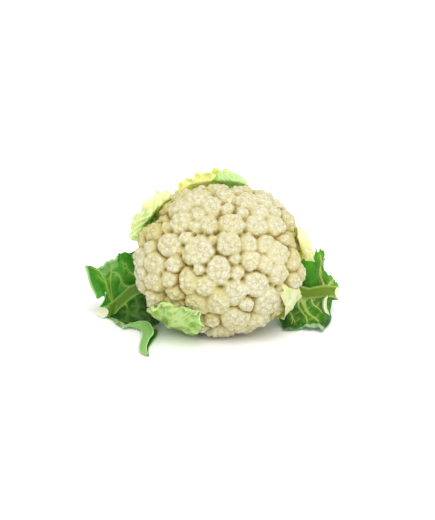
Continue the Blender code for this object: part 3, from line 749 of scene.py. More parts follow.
def branch(rng, vein, side, count, reach, width):
    """Small side veins that leave a vein on alternate sides."""
    twigs = []
    for k in range(count):
        t = (k + 0.8 + rng.uniform(-0.2, 0.2)) / (count + 0.6)
        u, v, _ = through(np.array(vein, float), np.array([t]))[0]
        lean = reach * rng.uniform(0.7, 1.2)
        turn = side * (1 if k % 2 else -1)
        twigs.append(
            [(u, v, width), (u + 0.35 * lean, v + 0.5 * turn * lean, width * 0.8),
             (u + 0.5 * lean, v + 1.2 * turn * lean, width * 0.4)]
        )
    return twigs


print("blade thickness in mm:", 2 * BLADE_HALF / MM)

# %% A closed leaf from its two faces


def sheet_faces(rows, columns):
    """Faces of a closed sheet: front, back and the rim round them, and which of them are on the far end."""
    grid, count = np.arange(rows * columns).reshape(rows, columns), rows * columns
    quads = np.stack([grid[:-1, :-1], grid[:-1, 1:], grid[1:, 1:], grid[1:, :-1]], axis=-1).reshape(-1, 4)
    edge = np.concatenate([grid[0], grid[1:, -1], grid[-1, -2::-1], grid[-2:0:-1, 0]])
    after = np.roll(edge, -1)
    rim = np.stack([edge, after, after + count, edge + count], axis=-1)
    at_end = (edge >= grid[-1, 0]) & (after >= grid[-1, 0])
    faces = np.vstack([quads[:, ::-1], quads + count, rim])
    return faces, np.concatenate([np.zeros(2 * len(quads), bool), at_end])


def leaf_object(name, front, back, attributes, skins):
    """A closed leaf, lifted onto the ground, with its attributes and its skin and cut materials."""
    rows, columns = front.shape[:2]
    short = np.maximum(-np.minimum(front[..., 2], back[..., 2]), 0)
    points = np.vstack([front.reshape(-1, 3), back.reshape(-1, 3)])
    points[:, 2] += np.tile(short.ravel(), 2)
    faces, at_end = sheet_faces(rows, columns)
    corners = points[faces]
    volume = np.einsum("ij,ij->", corners[:, 0], np.cross(corners[:, 1], corners[:, 2]))
    volume += np.einsum("ij,ij->", corners[:, 0], np.cross(corners[:, 2], corners[:, 3]))
    made = mesh_object(name, points, faces if volume > 0 else faces[:, ::-1])
    for skin in skins:
        made.data.materials.append(skin)
    made.data.polygons.foreach_set("material_index", np.where(at_end, len(skins) - 1, 0).astype(np.int32))
    for key, values in attributes.items():
        set_attribute(made.data, key, np.tile(values.ravel(), 2))
    set_attribute(made.data, "face", np.repeat([1.0, 0.0], rows * columns))
    made.data.shade_smooth()
    made.data.set_sharp_from_angle(angle=math.radians(60))
    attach(made, "root")
    return made


print("faces of a sheet of 3 x 3 points:", len(sheet_faces(3, 3)[0]))

# %% [markdown]
# ## Leaf tissue
# A leaf's own colour is its chlorophyll: dark on the leaves that grew in full light, and pale yellow-green where
# leaves wrapped the curd and kept the light out. Its face has a thin wax, so it shines softly. Its back is duller
# and bluish. Veins hold little green and stay pale. Each leaf gets its own colours in the same set of nodes: blade
# lit and in shade, veins, stalk, margin (tip), back, the hollows of the back, and veins as the back shows them
# (ridge). How far the blade goes from its shade colour to its lit one is partly the leaf's own tone and partly
# painted light and shade, and the darker hollows of the back are painted shade.

# %% Leaf material
MOTTLE_SIZE = 14 * MM
NET_SIZE = 2.6 * MM
VEIN_FADE_MM = (0.35, -0.1)
HALO_REACH_MM = 3.5
HALO_SHARE = 0.22
NET_LINE = 0.09
NET_SHARE = 0.18
RIB_EDGE = (0.04, 0.2)
RIB_MIDDLE = (0.15, 0.75)
# random unevenness of the painted light and shade, and of the leaf's tone
TONE_AND_LIGHT_UNEVEN = 0.3
SKIN_GRAIN = 0.9 * MM
FIBRE_SPACING = 1.6 * MM


def leaf_material(name, look, roughness, glow, depth, shine):
    """Leaf tissue with the colours of a look, lit through by glow, to a depth, under a wax that shines."""
    made, tree, shader = new_material(name)
    place = add_node(tree, "ShaderNodeTexCoord").outputs["Object"]
    vein_mm, rib, margin, face, tone_and_light, pale, fold = (
        add_node(tree, "ShaderNodeAttribute", attribute_name=key).outputs["Fac"]
        for key in ("vein", "rib", "margin", "face", "tone_and_light", "pale", "fold")
    )
    mottle = add_node(tree, "ShaderNodeTexNoise", {"Vector": place, "Scale": 1 / MOTTLE_SIZE, "Detail": 3.0})
    net = add_node(
        tree, "ShaderNodeTexVoronoi", {"Vector": place, "Scale": 1 / NET_SIZE}, feature="DISTANCE_TO_EDGE"
    )
    patchy = add_node(
        tree, "ShaderNodeMapRange",
        {
            "Value": mottle.outputs["Fac"], "From Min": 0.3, "From Max": 0.7,
            "To Min": -TONE_AND_LIGHT_UNEVEN, "To Max": TONE_AND_LIGHT_UNEVEN,
        },
    )
    # painted light and shade together with the leaf's own tone: the tone and light attribute with a random
    # patchiness
    lit = add_node(tree, "ShaderNodeMath", {0: tone_and_light, 1: patchy.outputs["Result"]}, operation="ADD", use_clamp=True)
    in_vein = add_node(
        tree, "ShaderNodeMapRange",
        {"Value": vein_mm, "From Min": VEIN_FADE_MM[0], "From Max": VEIN_FADE_MM[1]},
        interpolation_type="SMOOTHSTEP",
    )
    near_vein = add_node(tree, "ShaderNodeMapRange", {"Value": vein_mm, "From Min": HALO_REACH_MM, "From Max": 0.0})
    in_net = add_node(
        tree, "ShaderNodeMapRange", {"Value": net.outputs["Distance"], "From Min": NET_LINE, "From Max": 0.0}
    )
    halo = add_node(tree, "ShaderNodeMath", {0: near_vein.outputs["Result"], 1: HALO_SHARE}, operation="MULTIPLY")
    netting = add_node(tree, "ShaderNodeMath", {0: in_net.outputs["Result"], 1: NET_SHARE}, operation="MULTIPLY")

    # blade colour where lit, shade colour where in painted shade
    colour = add_node(
        tree, "ShaderNodeMix",
        {MIX_FACTOR: lit.outputs["Value"], MIX_A: linear(look["shade"]), MIX_B: linear(look["blade"])},
        data_type="RGBA",
    ).outputs[MIX_OUT]
    rib_edge, rib_middle = (
        add_node(tree, "ShaderNodeMapRange", {"Value": rib, "From Min": low, "From Max": high})
        for low, high in (RIB_EDGE, RIB_MIDDLE)
    )
    for factor, over in (
        (margin, "tip"), (halo.outputs["Value"], "vein"), (netting.outputs["Value"], "vein"), (pale, "back"),
        (in_vein.outputs["Result"], "vein"), (rib_edge.outputs["Result"], "vein"),
        (rib_middle.outputs["Result"], "stalk"),
    ):
        colour = add_node(
            tree, "ShaderNodeMix", {MIX_FACTOR: factor, MIX_A: colour, MIX_B: linear(look[over])}, data_type="RGBA"
        ).outputs[MIX_OUT]
    # the back: its hollows get a darker colour, painted shade in the folds
    behind = add_node(
        tree, "ShaderNodeMix",
        {MIX_FACTOR: fold, MIX_A: linear(look["hollow"]), MIX_B: linear(look["back"])}, data_type="RGBA",
    ).outputs[MIX_OUT]
    ridge = linear(look.get("ridge", look["vein"]))
    behind = add_node(
        tree, "ShaderNodeMix", {MIX_FACTOR: in_vein.outputs["Result"], MIX_A: behind, MIX_B: ridge},
        data_type="RGBA",
    ).outputs[MIX_OUT]
    colour = add_node(
        tree, "ShaderNodeMix", {MIX_FACTOR: face, MIX_A: behind, MIX_B: colour}, data_type="RGBA"
    ).outputs[MIX_OUT]
    tree.links.new(colour, shader.inputs["Base Color"])

    fine = add_node(tree, "ShaderNodeTexNoise", {"Vector": place, "Scale": 1 / SKIN_GRAIN, "Detail": 2.0})
    height = add_node(
        tree, "ShaderNodeMath", {0: net.outputs["Distance"], 1: fine.outputs["Fac"]}, operation="ADD"
    )
    bump = add_node(
        tree, "ShaderNodeBump", {"Strength": 0.35, "Distance": 0.5 * MM, "Height": height.outputs["Value"]}
    )
    tree.links.new(bump.outputs["Normal"], shader.inputs["Normal"])
    shader.inputs["Roughness"].default_value = roughness
    shader.inputs["Specular IOR Level"].default_value = shine
    shader.inputs["Subsurface Weight"].default_value = glow
    shader.inputs["Subsurface Radius"].default_value = (0.8, 1.0, 0.3)
    shader.inputs["Subsurface Scale"].default_value = depth
    return made


def cut_material():
    """Fresh cut stalk: wet, pale, with the ends of its fibres as small dots."""
    made, tree, shader = new_material("cut_stalk")
    place = add_node(tree, "ShaderNodeTexCoord").outputs["Object"]
    dots = add_node(tree, "ShaderNodeTexVoronoi", {"Vector": place, "Scale": 1 / FIBRE_SPACING})
    spot = add_node(
        tree, "ShaderNodeMapRange", {"Value": dots.outputs["Distance"], "From Min": 0.3, "From Max": 0.1}
    )
    colour = add_node(
        tree, "ShaderNodeMix",
        {MIX_FACTOR: spot.outputs["Result"], MIX_A: linear("#e2e5c6"), MIX_B: linear("#c3ca98")},
        data_type="RGBA",
    )
    tree.links.new(colour.outputs[MIX_OUT], shader.inputs["Base Color"])
    bump = add_node(
        tree, "ShaderNodeBump", {"Strength": 0.4, "Distance": 0.3 * MM, "Height": dots.outputs["Distance"]}
    )
    tree.links.new(bump.outputs["Normal"], shader.inputs["Normal"])
    shader.inputs["Roughness"].default_value = 0.35
    shader.inputs["Subsurface Weight"].default_value = 0.4
    shader.inputs["Subsurface Scale"].default_value = 2 * MM
    return made


cut_stalk = cut_material()
print("leaf net:", NET_SIZE / MM, "mm")

# %% [markdown]
# ## Inner leaves
# The youngest leaves hug the curd and are pale. Each leaves the stem, lies round the curd on one shared bed and
# ends in a soft frill. In the frame of the head that is easy: u turns the polar angle from the stem towards the
# crown and v turns the clock angle. The frill is a second set of waves that only the margin has.
#
# A leaf's clock and root are the clock angles of its tip and of its foot, in degrees, and half is half its width
# in mm. Its ends are the angles from the crown at which it stops, in degrees, from its left margin to its right
# one. Layer, in mm, keeps leaves that overlap apart. Some leaves sink towards the curd by so many mm and then
# flare: their rim stands up from it, and off says by how many mm more at the left, middle and right. Waves, wave
# and phase are how many slow waves a margin has, how high they are and where they start. Ragged makes it uneven.

# %% Inner leaves: their places
INNER_LEAVES = {
    "inner_leaf_upper_left": dict(
        clock=304, root=302, half=31, ends=(94, 84, 78, 84, 94), layer=1.2, waves=2.2, wave=1.0, phase=0.9,
        sink=10, off=(1, 4, 1), flare=1, ragged=0.9),
    "inner_leaf_top": dict(
        clock=347, root=343, half=25, ends=(102, 96, 90, 88, 90), layer=3.0, waves=2.5, wave=1.0, phase=2.0,
        sink=5, off=(0, 4, 8), flare=1, ragged=0.9),
    "inner_leaf_top_right": dict(
        clock=9, root=15, half=15, ends=(82, 84, 84, 88, 98), layer=1.2, waves=2.0, wave=0.3, phase=4.1,
        sink=3, off=(8, 7, 0), flare=1, ragged=0.2),
    "inner_leaf_right": dict(
        clock=80, root=68, half=18, ends=(90, 82, 76, 80, 90), layer=1.2, waves=2.0, wave=0.6, phase=1.2,
        sink=10, off=(-4, 2, 2), flare=1, ragged=0.6),
    "inner_leaf_lower_right": dict(
        clock=124, root=125, half=15, ends=(74, 60, 60, 71, 86), layer=1.0, waves=3.0, wave=0.3, phase=3.0,
        sink=3.5, off=(0, 0, 0), flare=0, ragged=0.7),
    "inner_leaf_lower_left": dict(
        clock=213, root=222, half=27, ends=(66, 56, 58, 62, 74), layer=1.2, waves=3.4, wave=2.2, phase=5.2,
        sink=4, off=(1, 2, 1), flare=0.6, ragged=0.9),
}
print(len(INNER_LEAVES), "inner leaves")

# %% Inner leaves: their bed and their sheet
STEM_RADIUS = 21 * MM
LEAF_GAP = 0.3 * MM
INNER_ROOT_BACK = 43 * MM
INNER_ROOT_HALF = 5 * MM
INNER_ROOT_POLAR = math.radians(150)
INNER_RIB = 5 * MM
INNER_GRID = (84, 71)
FRILL_ALONG = 46
FRILL_ACROSS = 19
FLARE_STRETCH = 0.7
FLARE_CLIMB = 0.38
FLARE_RUFFLE = 0.3
RIM_START = 0.64
RIM_LENGTH = 0.36
RIM_CURVE = 1.2
RIM_RAGGED = 0.7 * MM
DIP_START = 0.25
DIP_LENGTH = 0.25
DIP_END_SHARE = 0.6
ROOT_LENGTH = 0.22
RING_LEAST = 20 * MM
BULGE_LEAST = 1 * MM
BULGE_MOST = 6 * MM
BULGE_CLOCK = math.radians(330)
BULGE_POLAR_DEG = 104
BULGE_SPREAD_DEG = 17
SHOULDER_HEIGHT = 7 * MM
SHOULDER_POLAR_DEG = 112
SHOULDER_SPREAD_DEG = 38


def leaf_bed(polar, clock):
    """Distance from the head's centre to the surface that the inner leaves lie on."""
    most = BULGE_LEAST + (BULGE_MOST - BULGE_LEAST) * (0.5 + 0.5 * np.cos(clock - BULGE_CLOCK))
    bulge = most * np.exp(-(((np.degrees(polar) - BULGE_POLAR_DEG) / BULGE_SPREAD_DEG) ** 2))
    shoulder = SHOULDER_HEIGHT * smooth_step((np.degrees(polar) - SHOULDER_POLAR_DEG) / SHOULDER_SPREAD_DEG)
    return outer_form(heading(polar, clock)) + bulge + shoulder


def hugging_sheet(leaf, u, v):
    """The middle sheet of a leaf that leaves the stem and lies round the curd, with its frill."""
    clock, root = math.radians(leaf["clock"]), math.radians(leaf["root"])
    ends = through(np.array(leaf["ends"])[:, None], (v + 1) / 2)[..., 0]
    ragged = 2.2 * np.sin(11 * v + leaf["phase"]) + 1.0 * np.sin(19 * v + 2 * leaf["phase"])
    ragged = leaf["ragged"] * ragged
    climb = np.minimum(u * (1 + FLARE_CLIMB * leaf["flare"]), 1)
    polar = INNER_ROOT_POLAR + (np.radians(ends + ragged * (1 - leaf["flare"])) - INNER_ROOT_POLAR) * climb
    half = INNER_ROOT_HALF + (leaf["half"] * MM - INNER_ROOT_HALF) * smooth_step(u / 0.62)
    half = half * (1 - 0.08 * smooth_step((u - 0.5) / 0.5))
    half = half * (1 + 0.035 * leaf["ragged"] * np.sin(31 * u + leaf["phase"]))
    middle_clock = root + (clock - root) * smooth_step(u)
    ring = np.maximum(outer_form(heading(polar, middle_clock)) * np.sin(polar), RING_LEAST)
    angle = middle_clock + v * half / ring
    wave = np.sin(2 * math.pi * leaf["waves"] * (u + 0.35 * v) + leaf["phase"])
    margin = np.maximum(np.abs(v) ** 2 * u, smooth_step((u - 0.7) / 0.3))
    along = FRILL_ALONG * (1 - FLARE_STRETCH * leaf["flare"]) * u
    frill = np.sin(along + FRILL_ACROSS * v + leaf["phase"]) + 0.5 * np.sin(2.1 * along - 1.7 * FRILL_ACROSS * v)
    sides = smooth_step((np.abs(v) - 0.62) / 0.38) * smooth_step(u * 3 - 1)
    edge = np.maximum(sides, smooth_step((u - 0.8) / 0.2))
    ruffle = leaf["wave"] * MM * (0.5 + 0.5 * wave) * margin + leaf["frill"] * MM * (1 + frill) / 2 * edge
    off = through(np.array(leaf["off"], float)[:, None], (v + 1) / 2)[..., 0] * MM
    sink = leaf["sink"] * MM
    dip = sink * smooth_step((u - DIP_START) / DIP_LENGTH)
    if leaf["flare"]:
        rising = np.clip((u - RIM_START) / RIM_LENGTH, 0, 1) ** RIM_CURVE
        off = (sink + off + RIM_RAGGED * ragged) * rising - dip
        polar = polar - ruffle / leaf_bed(polar, angle)
        ruffle = FLARE_RUFFLE * ruffle
    else:
        off = off - dip * (1 - DIP_END_SHARE * smooth_step((u - 0.85) / 0.15))
    away = (leaf["layer"] * MM + BLADE_HALF) + ruffle + off
    hugging = heading(polar, angle) * (leaf_bed(polar, angle) + away)[..., None]
    around = root + v * INNER_ROOT_HALF / STEM_RADIUS
    reach = STEM_RADIUS + LEAF_GAP
    rooted = np.stack(
        [reach * np.sin(around), reach * np.cos(around), np.full(u.shape, -INNER_ROOT_BACK)], axis=-1
    )
    return rooted + (hugging - rooted) * smooth_step(u / ROOT_LENGTH)[..., None]


print("an inner leaf has", math.prod(INNER_GRID), "points on each face")

# %% [markdown]
# ### Their colours and veins
# Between its veins a real leaf is crinkled. One noise gives both the crinkles of the sheet and a change of colour:
# what stands up is painted lighter and what lies in a fold is painted shade. Tone and light is where a leaf lies
# between its shade colour and its blade colour at its left margin, middle and right margin: partly the leaf's own
# tone, partly painted light and shade. Frill and crinkle are heights in mm.

# %% Inner leaves: colours
# tone and light: partly each leaf's own tone, partly painted light and shade
INNER_LOOKS = {
    "inner_leaf_upper_left": dict(
        blade="#e6e498", shade="#98c850", vein="#e6eabc", back="#dfe8a4", tip="#e9efd0", stalk="#e9e080",
        hollow="#c2d682", frill=3.2, crinkle=1.4, tone_and_light=(-0.2, 0.3, 1.0)),
    "inner_leaf_top": dict(
        blade="#f0e478", shade="#9ad42c", vein="#ecebb0", back="#dce07c", tip="#dfe694", stalk="#efe066",
        hollow="#b4c850", frill=3.0, crinkle=1.4, tone_and_light=(0.9, 0.9, 0.0)),
    "inner_leaf_top_right": dict(
        blade="#c0df98", shade="#a8d284", vein="#cce4a6", back="#b4d898", tip="#c2de9e", stalk="#cfe69e",
        hollow="#98c47c", frill=0.8, crinkle=0.6, tone_and_light=(0.2, 0.5, 0.9)),
    "inner_leaf_right": dict(
        blade="#f4f1b8", shade="#efe468", vein="#f4f3d2", back="#f3efb0", tip="#eff1da", stalk="#efe05a",
        hollow="#dcd684", frill=1.8, crinkle=0.9, tone_and_light=(0.7, 0.4, 0.3)),
    "inner_leaf_lower_right": dict(
        blade="#dbe5ac", shade="#c6d87c", vein="#e4eec0", back="#e4f0b4", tip="#d9dc6c", stalk="#dbe5b4",
        hollow="#cfe08c", frill=0.5, crinkle=0.5, tone_and_light=(0.9, 0.6, 0.3)),
    "inner_leaf_lower_left": dict(
        blade="#b6d474", shade="#74a83a", vein="#c6dc92", back="#c4de8c", tip="#c4dc8c", stalk="#c6dc94",
        hollow="#84b240", frill=2.2, crinkle=2.6, tone_and_light=(0.7, 0.3, 0.4)),
}
print("leaf colours for:", ", ".join(INNER_LOOKS))

# %% Inner leaves: veins and making
CRINKLE_SIZE = 8 * MM
# painted shade in the folds of the crinkles, on the face and in the hollows of the back
CRINKLE_SHADE = 0.8
FOLD_CONTRAST = 1.5


def inner_veins(rng):
    """A pale midrib with pairs of side veins that fan out from low on the leaf, and their twigs."""
    veins = [[(0.0, 0, 2.2), (0.35, 0, 1.5), (0.7, 0.01, 0.8), (0.97, 0.0, 0.3)]]
    for side in (-1, 1):
        for start, end in ((0.12, 0.5), (0.26, 0.68), (0.4, 0.84), (0.54, 0.96), (0.68, 1.0)):
            out = side * rng.uniform(0.72, 0.98)
            bend = rng.uniform(-0.05, 0.05)
            vein = [
                (start, 0, 0.8), (start + 0.45 * (end - start), 0.42 * out + bend, 0.6), (end, out, 0.25),
            ]
            veins.append(vein)
            veins += branch(rng, vein, side, 4, 0.16, 0.25)
    return veins


def make_inner_leaf(name, leaf, look, number):
    """One inner leaf: its sheet, veins, crinkles and rib, its colours and its two faces."""
    rng = np.random.default_rng(GROWTH_SEED + 10 * number)
    rows, columns = INNER_GRID
    u, v = np.meshgrid(np.linspace(0, 1, rows), np.linspace(-1, 1, columns), indexing="ij")
    sheet = to_world(hugging_sheet(dict(leaf, frill=look["frill"]), u, v))
    vein = vein_distance(sheet, inner_veins(rng))
    crinkle = np.array([noise.noise(Vector(p) / CRINKLE_SIZE) for p in sheet.reshape(-1, 3)]).reshape(u.shape)
    puff = PUFF_HEIGHT * (1 - np.exp(-((np.maximum(vein, 0) / PUFF_WIDTH) ** 2)))
    relief = smooth_step(u * 4) * (puff - 0.5 * PUFF_HEIGHT + look["crinkle"] * MM * crinkle)
    normals = grid_normals(sheet, to_world([0, 0, 0]) - sheet)
    across = np.clip(np.abs(v) / (0.17 + 0.75 * (1 - smooth_step(u / 0.3))), 0, 1)
    rib = INNER_RIB * (1 - smooth_step(u / 0.9)) * np.sqrt(1 - across**2)
    half = BLADE_HALF * (1 - 0.55 * smooth_step((np.maximum(np.abs(v), u) - 0.8) / 0.2))
    crest = normals[:, columns // 2][:, None]
    front = sheet - normals * relief[..., None] + normals * half[..., None]
    back = sheet - normals * relief[..., None] - normals * half[..., None] - crest * rib[..., None]
    margin = 0.7 * np.maximum(smooth_step((np.abs(v) - 0.6) / 0.4) * u, smooth_step((u - 0.72) / 0.28))
    # the leaf's own tone across it, less light in the folds of its crinkles: painted shade
    tone_and_light = through(np.array(look["tone_and_light"])[:, None], (v + 1) / 2)[..., 0] - CRINKLE_SHADE * crinkle
    skin = leaf_material(name + "_tissue", look, 0.45, 1.0, 2.5 * MM, 0.4)
    attributes = {
        "vein": vein / MM, "rib": 1 - smooth_step(u / 0.35), "margin": margin, "tone_and_light": tone_and_light, "pale": 0 * u,
        "fold": np.clip(0.5 + FOLD_CONTRAST * crinkle, 0, 1),
    }
    made = leaf_object(name + "_frilled", front, back, attributes, (skin,))
    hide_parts(name)
    return made


for number, (name, leaf) in enumerate(INNER_LEAVES.items()):
    made = make_inner_leaf(name, leaf, INNER_LOOKS[name], number)
    print(made.name, len(made.data.polygons), "faces")

# %% [markdown]
# ## Outer leaves
# Two large leaves were cut across when the head was trimmed, and their lower halves still spread on the table.
# Each is drawn through stations along its midrib, with five points across the leaf at each. The stations are in
# the room's frame, because what they follow is how the leaf lies on the table. The last ones crowd together at
# the cut. A margin that rolls to and fro gives the waves, and notches of uneven depth give the teeth.

# %% Outer leaves: stations
LEFT_STATIONS = (
    ((-23, 77, 41), (-23, 77, 38.5), (-23, 77, 36), (-23, 77, 33.5), (-23, 77, 31)),
    ((-46, 79, 54), (-44, 76, 43), (-42, 72, 34), (-41, 68, 26), (-40, 63, 18)),
    ((-70, 76, 66), (-65, 71, 50), (-60, 66, 33), (-56, 60, 20), (-51, 52, 8)),
    ((-87, 68, 60), (-81, 64, 42.5), (-80, 60, 25), (-71, 48, 18.5), (-56, 40, 3)),
    ((-97, 63, 63), (-92.5, 60, 43), (-87.5, 58.5, 21.5), (-76, 38, 15), (-61, 15.5, 4)),
    ((-101, 60, 59.5), (-99.5, 58.5, 38.5), (-95.5, 57, 14.5), (-84, 37, 10.5), (-69.5, 19, 5)),
    ((-110, 57, 55.5), (-106, 57, 34.5), (-101, 56, 10), (-92, 40, 6), (-78.5, 22.5, 5)),
    ((-120, 55, 50.5), (-111.5, 53, 32), (-105, 52.5, 8), (-98.5, 45, 1.5), (-87.5, 19, 4)),
    ((-131, 51, 52), (-119, 50.5, 37), (-108, 50.5, 7.5), (-103.5, 47, 1), (-96.5, 22.5, 3)),
    ((-120, 49, 21), (-113.5, 49.5, 24), (-109.5, 49, 7), (-106.5, 47.5, 0.5), (-101, 32, 2)),
    ((-111, 49, 26.5), (-110, 49, 18), (-111, 48, 6.5), (-110, 47, 1), (-109.5, 46, 0)),
    ((-116, 45, 13), (-118, 45, 10), (-118.5, 45, 6), (-118, 45, 3), (-116.5, 45, 0.5)),
)
RIGHT_STATIONS = (
    ((23, 77, 41), (23, 77, 38.5), (23, 77, 36), (23, 77, 33.5), (23, 77, 31)),
    ((48, 79, 52), (46, 76, 40), (44, 72, 30), (43, 68, 23), (42, 62, 15)),
    ((70, 76, 66), (66, 71, 46), (62, 67, 26), (60, 56, 15), (57, 37, 5)),
    ((88.5, 67, 59), (87.5, 64, 41.5), (83.5, 63, 19.5), (77, 50, 8), (60.5, 12, 1.5)),
    ((95, 65, 68.5), (94.5, 62, 46.5), (91, 62, 20.5), (85.5, 48, 7), (75.5, 14, 3)),
    ((101, 62, 62.5), (98, 61, 44.5), (98, 61, 22), (94.5, 48, 7), (88, 13, 3)),
    ((100.5, 61, 48.5), (102, 60, 35.5), (103.5, 60, 23), (101, 48, 9), (97.5, 10.5, 2)),
    ((110, 60, 37.5), (109, 59.5, 30.5), (108.5, 59, 23), (105.5, 52, 13.5), (107.5, 46, 1.5)),
    ((114.5, 59, 32), (113.5, 58.5, 28), (112.5, 58.5, 23), (110, 56, 18), (107, 54, 14)),
    ((116, 58, 27.5), (116, 58, 25.5), (116, 58, 22), (116, 58, 18.5), (115.5, 58, 15)),
)
print(len(LEFT_STATIONS), "and", len(RIGHT_STATIONS), "stations")

# %% Outer leaves: the sheet through the stations
OUTER_GRID = (170, 121)
OUTER_RIB = 4.5 * MM
OUTER_RIB_HALF = 6.5 * MM
RIB_FRONT_SHARE = 0.35
ROLL_START = 0.8
ROLL_LENGTH = 5 * MM
OUTER_LEAVES = {
    "outer_leaf_left": dict(
        stations=LEFT_STATIONS, roll=(0.3, 0.1), waves=3.6, phase=0.5, teeth=0.05, slant=10, faint=0.25),
    "outer_leaf_right": dict(
        stations=RIGHT_STATIONS, roll=(0.4, 0.3), waves=3.6, phase=2.1, teeth=0.09, slant=4, faint=0.0),
}
TOOTH_WAVES = (13, 5)
LOWER_TEETH = 0.35


def stationed_sheet(leaf, u, v):
    """The middle sheet of a leaf through its stations."""
    stations = np.array(leaf["stations"], float) * MM
    lines = np.stack([through(stations[:, k], u[:, 0]) for k in range(5)])
    many, few = (2 * math.pi * waves * u for waves in TOOTH_WAVES)
    teeth = leaf["teeth"] * (1 + np.sin(many + leaf["phase"]) * np.sin(few))
    teeth = teeth * np.where(v < 0, 1, LOWER_TEETH)
    v = v * (1 - teeth * v**4 * smooth_step((u - 0.25) * 6) * smooth_step((1 - u) * 6))
    return np.stack([through(lines[:, i], (v[i] + 1) / 2) for i in range(len(u))])


def rolled_sheet(leaf, u, v):
    """The sheet with its margins rolled to and fro along the leaf."""
    flat = stationed_sheet(leaf, u, v)
    hinge = stationed_sheet(leaf, u, np.clip(v, -ROLL_START, ROLL_START))
    flap = np.linalg.norm(flat - hinge, axis=-1)
    along = (flat - hinge) / np.maximum(flap, 1e-9)[..., None]
    up = np.cross(np.gradient(hinge, axis=0), along)
    up = up / np.maximum(np.linalg.norm(up, axis=-1), 1e-9)[..., None] * np.sign(v)[..., None]
    most = np.where(v < 0, leaf["roll"][0], leaf["roll"][1])
    turn = most * np.sin(2 * math.pi * leaf["waves"] * u + leaf["phase"] + 1.3 * np.sign(v))
    turn = turn * smooth_step(u * 4) * smooth_step((1 - u) * 3 - 0.6) * np.minimum(1, ROLL_LENGTH / (flap + 1e-9))
    turn = np.where(np.abs(turn) < 1e-3, 1e-3, turn)
    rolled = hinge + flap[..., None] * (
        (np.sin(turn) / turn)[..., None] * along + ((1 - np.cos(turn)) / turn)[..., None] * up
    )
    return np.where((np.abs(v) > ROLL_START)[..., None], rolled, flat)


print("an outer leaf has", math.prod(OUTER_GRID), "points on each face")

# %% [markdown]
# ### Their colours and veins
# The veins that the photograph shows are given as places on the sheet (u, v) with half their width in
# mm, and their twigs are grown. Pale bands lie where the margin folds over and where the blade is bleached.

# %% Outer leaves: colours and veins
# tone and light on the outer leaves is painted light and shade: lit towards the upper margin, in painted shade
# towards the lower one
OUTER_LOOKS = {
    "outer_leaf_left": dict(
        blade="#3c9414", shade="#124606", vein="#8db050", back="#a5cf86", tip="#2f7a18", stalk="#5a8020",
        hollow="#8fbf6e", ridge="#bddda0", tone_and_light=(0.8, 0.75, 0.35, 0.05, 0.0)),
    "outer_leaf_right": dict(
        blade="#56ac20", shade="#12460a", vein="#a9c05e", back="#a3c294", tip="#2c7a1a", stalk="#6d8a26",
        hollow="#8eb27c", ridge="#c0d6b0", tone_and_light=(1.2, 0.55, 0.25, 0.3, 0.1)),
}
OUTER_VEINS = {
    "outer_leaf_left": [
        [(0.60, -0.14, 0.9), (0.57, -0.43, 0.6), (0.53, -0.63, 0.5), (0.50, -0.8, 0.3)],
        [(0.61, -0.14, 1.1), (0.63, -0.31, 0.9), (0.62, -0.56, 0.8), (0.62, -0.80, 0.6), (0.64, -0.98, 0.5)],
        [(0.34, -0.10, 1.0), (0.41, -0.30, 0.8), (0.43, -0.49, 0.7), (0.47, -0.62, 0.5), (0.52, -0.67, 0.3)],
        [(0.30, -0.42, 0.4), (0.33, -0.55, 0.4), (0.34, -0.7, 0.3)],
        [(0.34, 0.12, 0.5), (0.35, 0.28, 0.3), (0.38, 0.42, 0.3), (0.43, 0.57, 0.2), (0.46, 0.78, 0.1)],
        [(0.45, 0.12, 0.9), (0.45, 0.23, 0.6), (0.49, 0.44, 0.3), (0.57, 0.68, 0.2), (0.61, 0.85, 0.1)],
        [(0.25, 0.2, 0.3), (0.29, 0.57, 0.2), (0.32, 0.66, 0.2), (0.35, 0.8, 0.1)],
    ],
    "outer_leaf_right": [
        [(0.32, 0.1, 3.0), (0.35, 0.32, 2.0), (0.42, 0.49, 1.3), (0.50, 0.63, 1.0), (0.60, 0.76, 0.6)],
        [(0.30, 0.12, 1.2), (0.32, 0.44, 0.7), (0.37, 0.54, 0.6), (0.45, 0.67, 0.5), (0.49, 0.84, 0.4)],
        [(0.26, 0.5, 0.5), (0.28, 0.64, 0.5), (0.33, 0.70, 0.4), (0.36, 0.84, 0.3)],
        [(0.44, 0.14, 0.5), (0.49, 0.33, 0.5), (0.57, 0.44, 0.4), (0.63, 0.57, 0.3)],
        [(0.68, -0.1, 1.2), (0.60, -0.30, 0.9), (0.54, -0.42, 0.7), (0.54, -0.62, 0.6), (0.50, -0.80, 0.4)],
        [(0.70, -0.1, 1.4), (0.75, -0.5, 1.1), (0.80, -0.95, 0.7)],
    ],
}
PALE_BANDS = {
    "outer_leaf_left": [
        ([(0.45, -0.98, 1.8), (0.55, -1.0, 2.4), (0.63, -0.98, 1.6)], 0.9),
        ([(0.47, -0.82, 3.5), (0.55, -0.80, 4.0), (0.60, -0.76, 3.0)], 0.35),
        ([(0.70, -1.0, 1.2), (0.73, -1.0, 2.0), (0.77, -1.0, 2.0), (0.81, -1.0, 1.2)], 0.9),
        ([(0.68, 0.9, 2.5), (0.74, 0.8, 3.5), (0.80, 0.8, 2.5)], 0.8),
    ],
    "outer_leaf_right": [
        ([(0.45, 1.0, 1.0), (0.50, 0.94, 2.4), (0.58, 0.92, 3.4), (0.66, 0.95, 2.6)], 0.85),
        ([(0.61, -1.0, 1.5), (0.64, -0.95, 2.0)], 0.7),
    ],
}
print("veins placed by hand:", sum(len(veins) for veins in OUTER_VEINS.values()))

# %% [markdown]
# ### Their rolled margins
# In one place on each leaf, the lower margin rolls right over and shows the leaf's pale back, with two lines of
# vein along it. A sheet with one u and v can't fold back so tightly without creasing. So each roll is a strip of
# its own, through stations of the same kind, that starts on the margin.

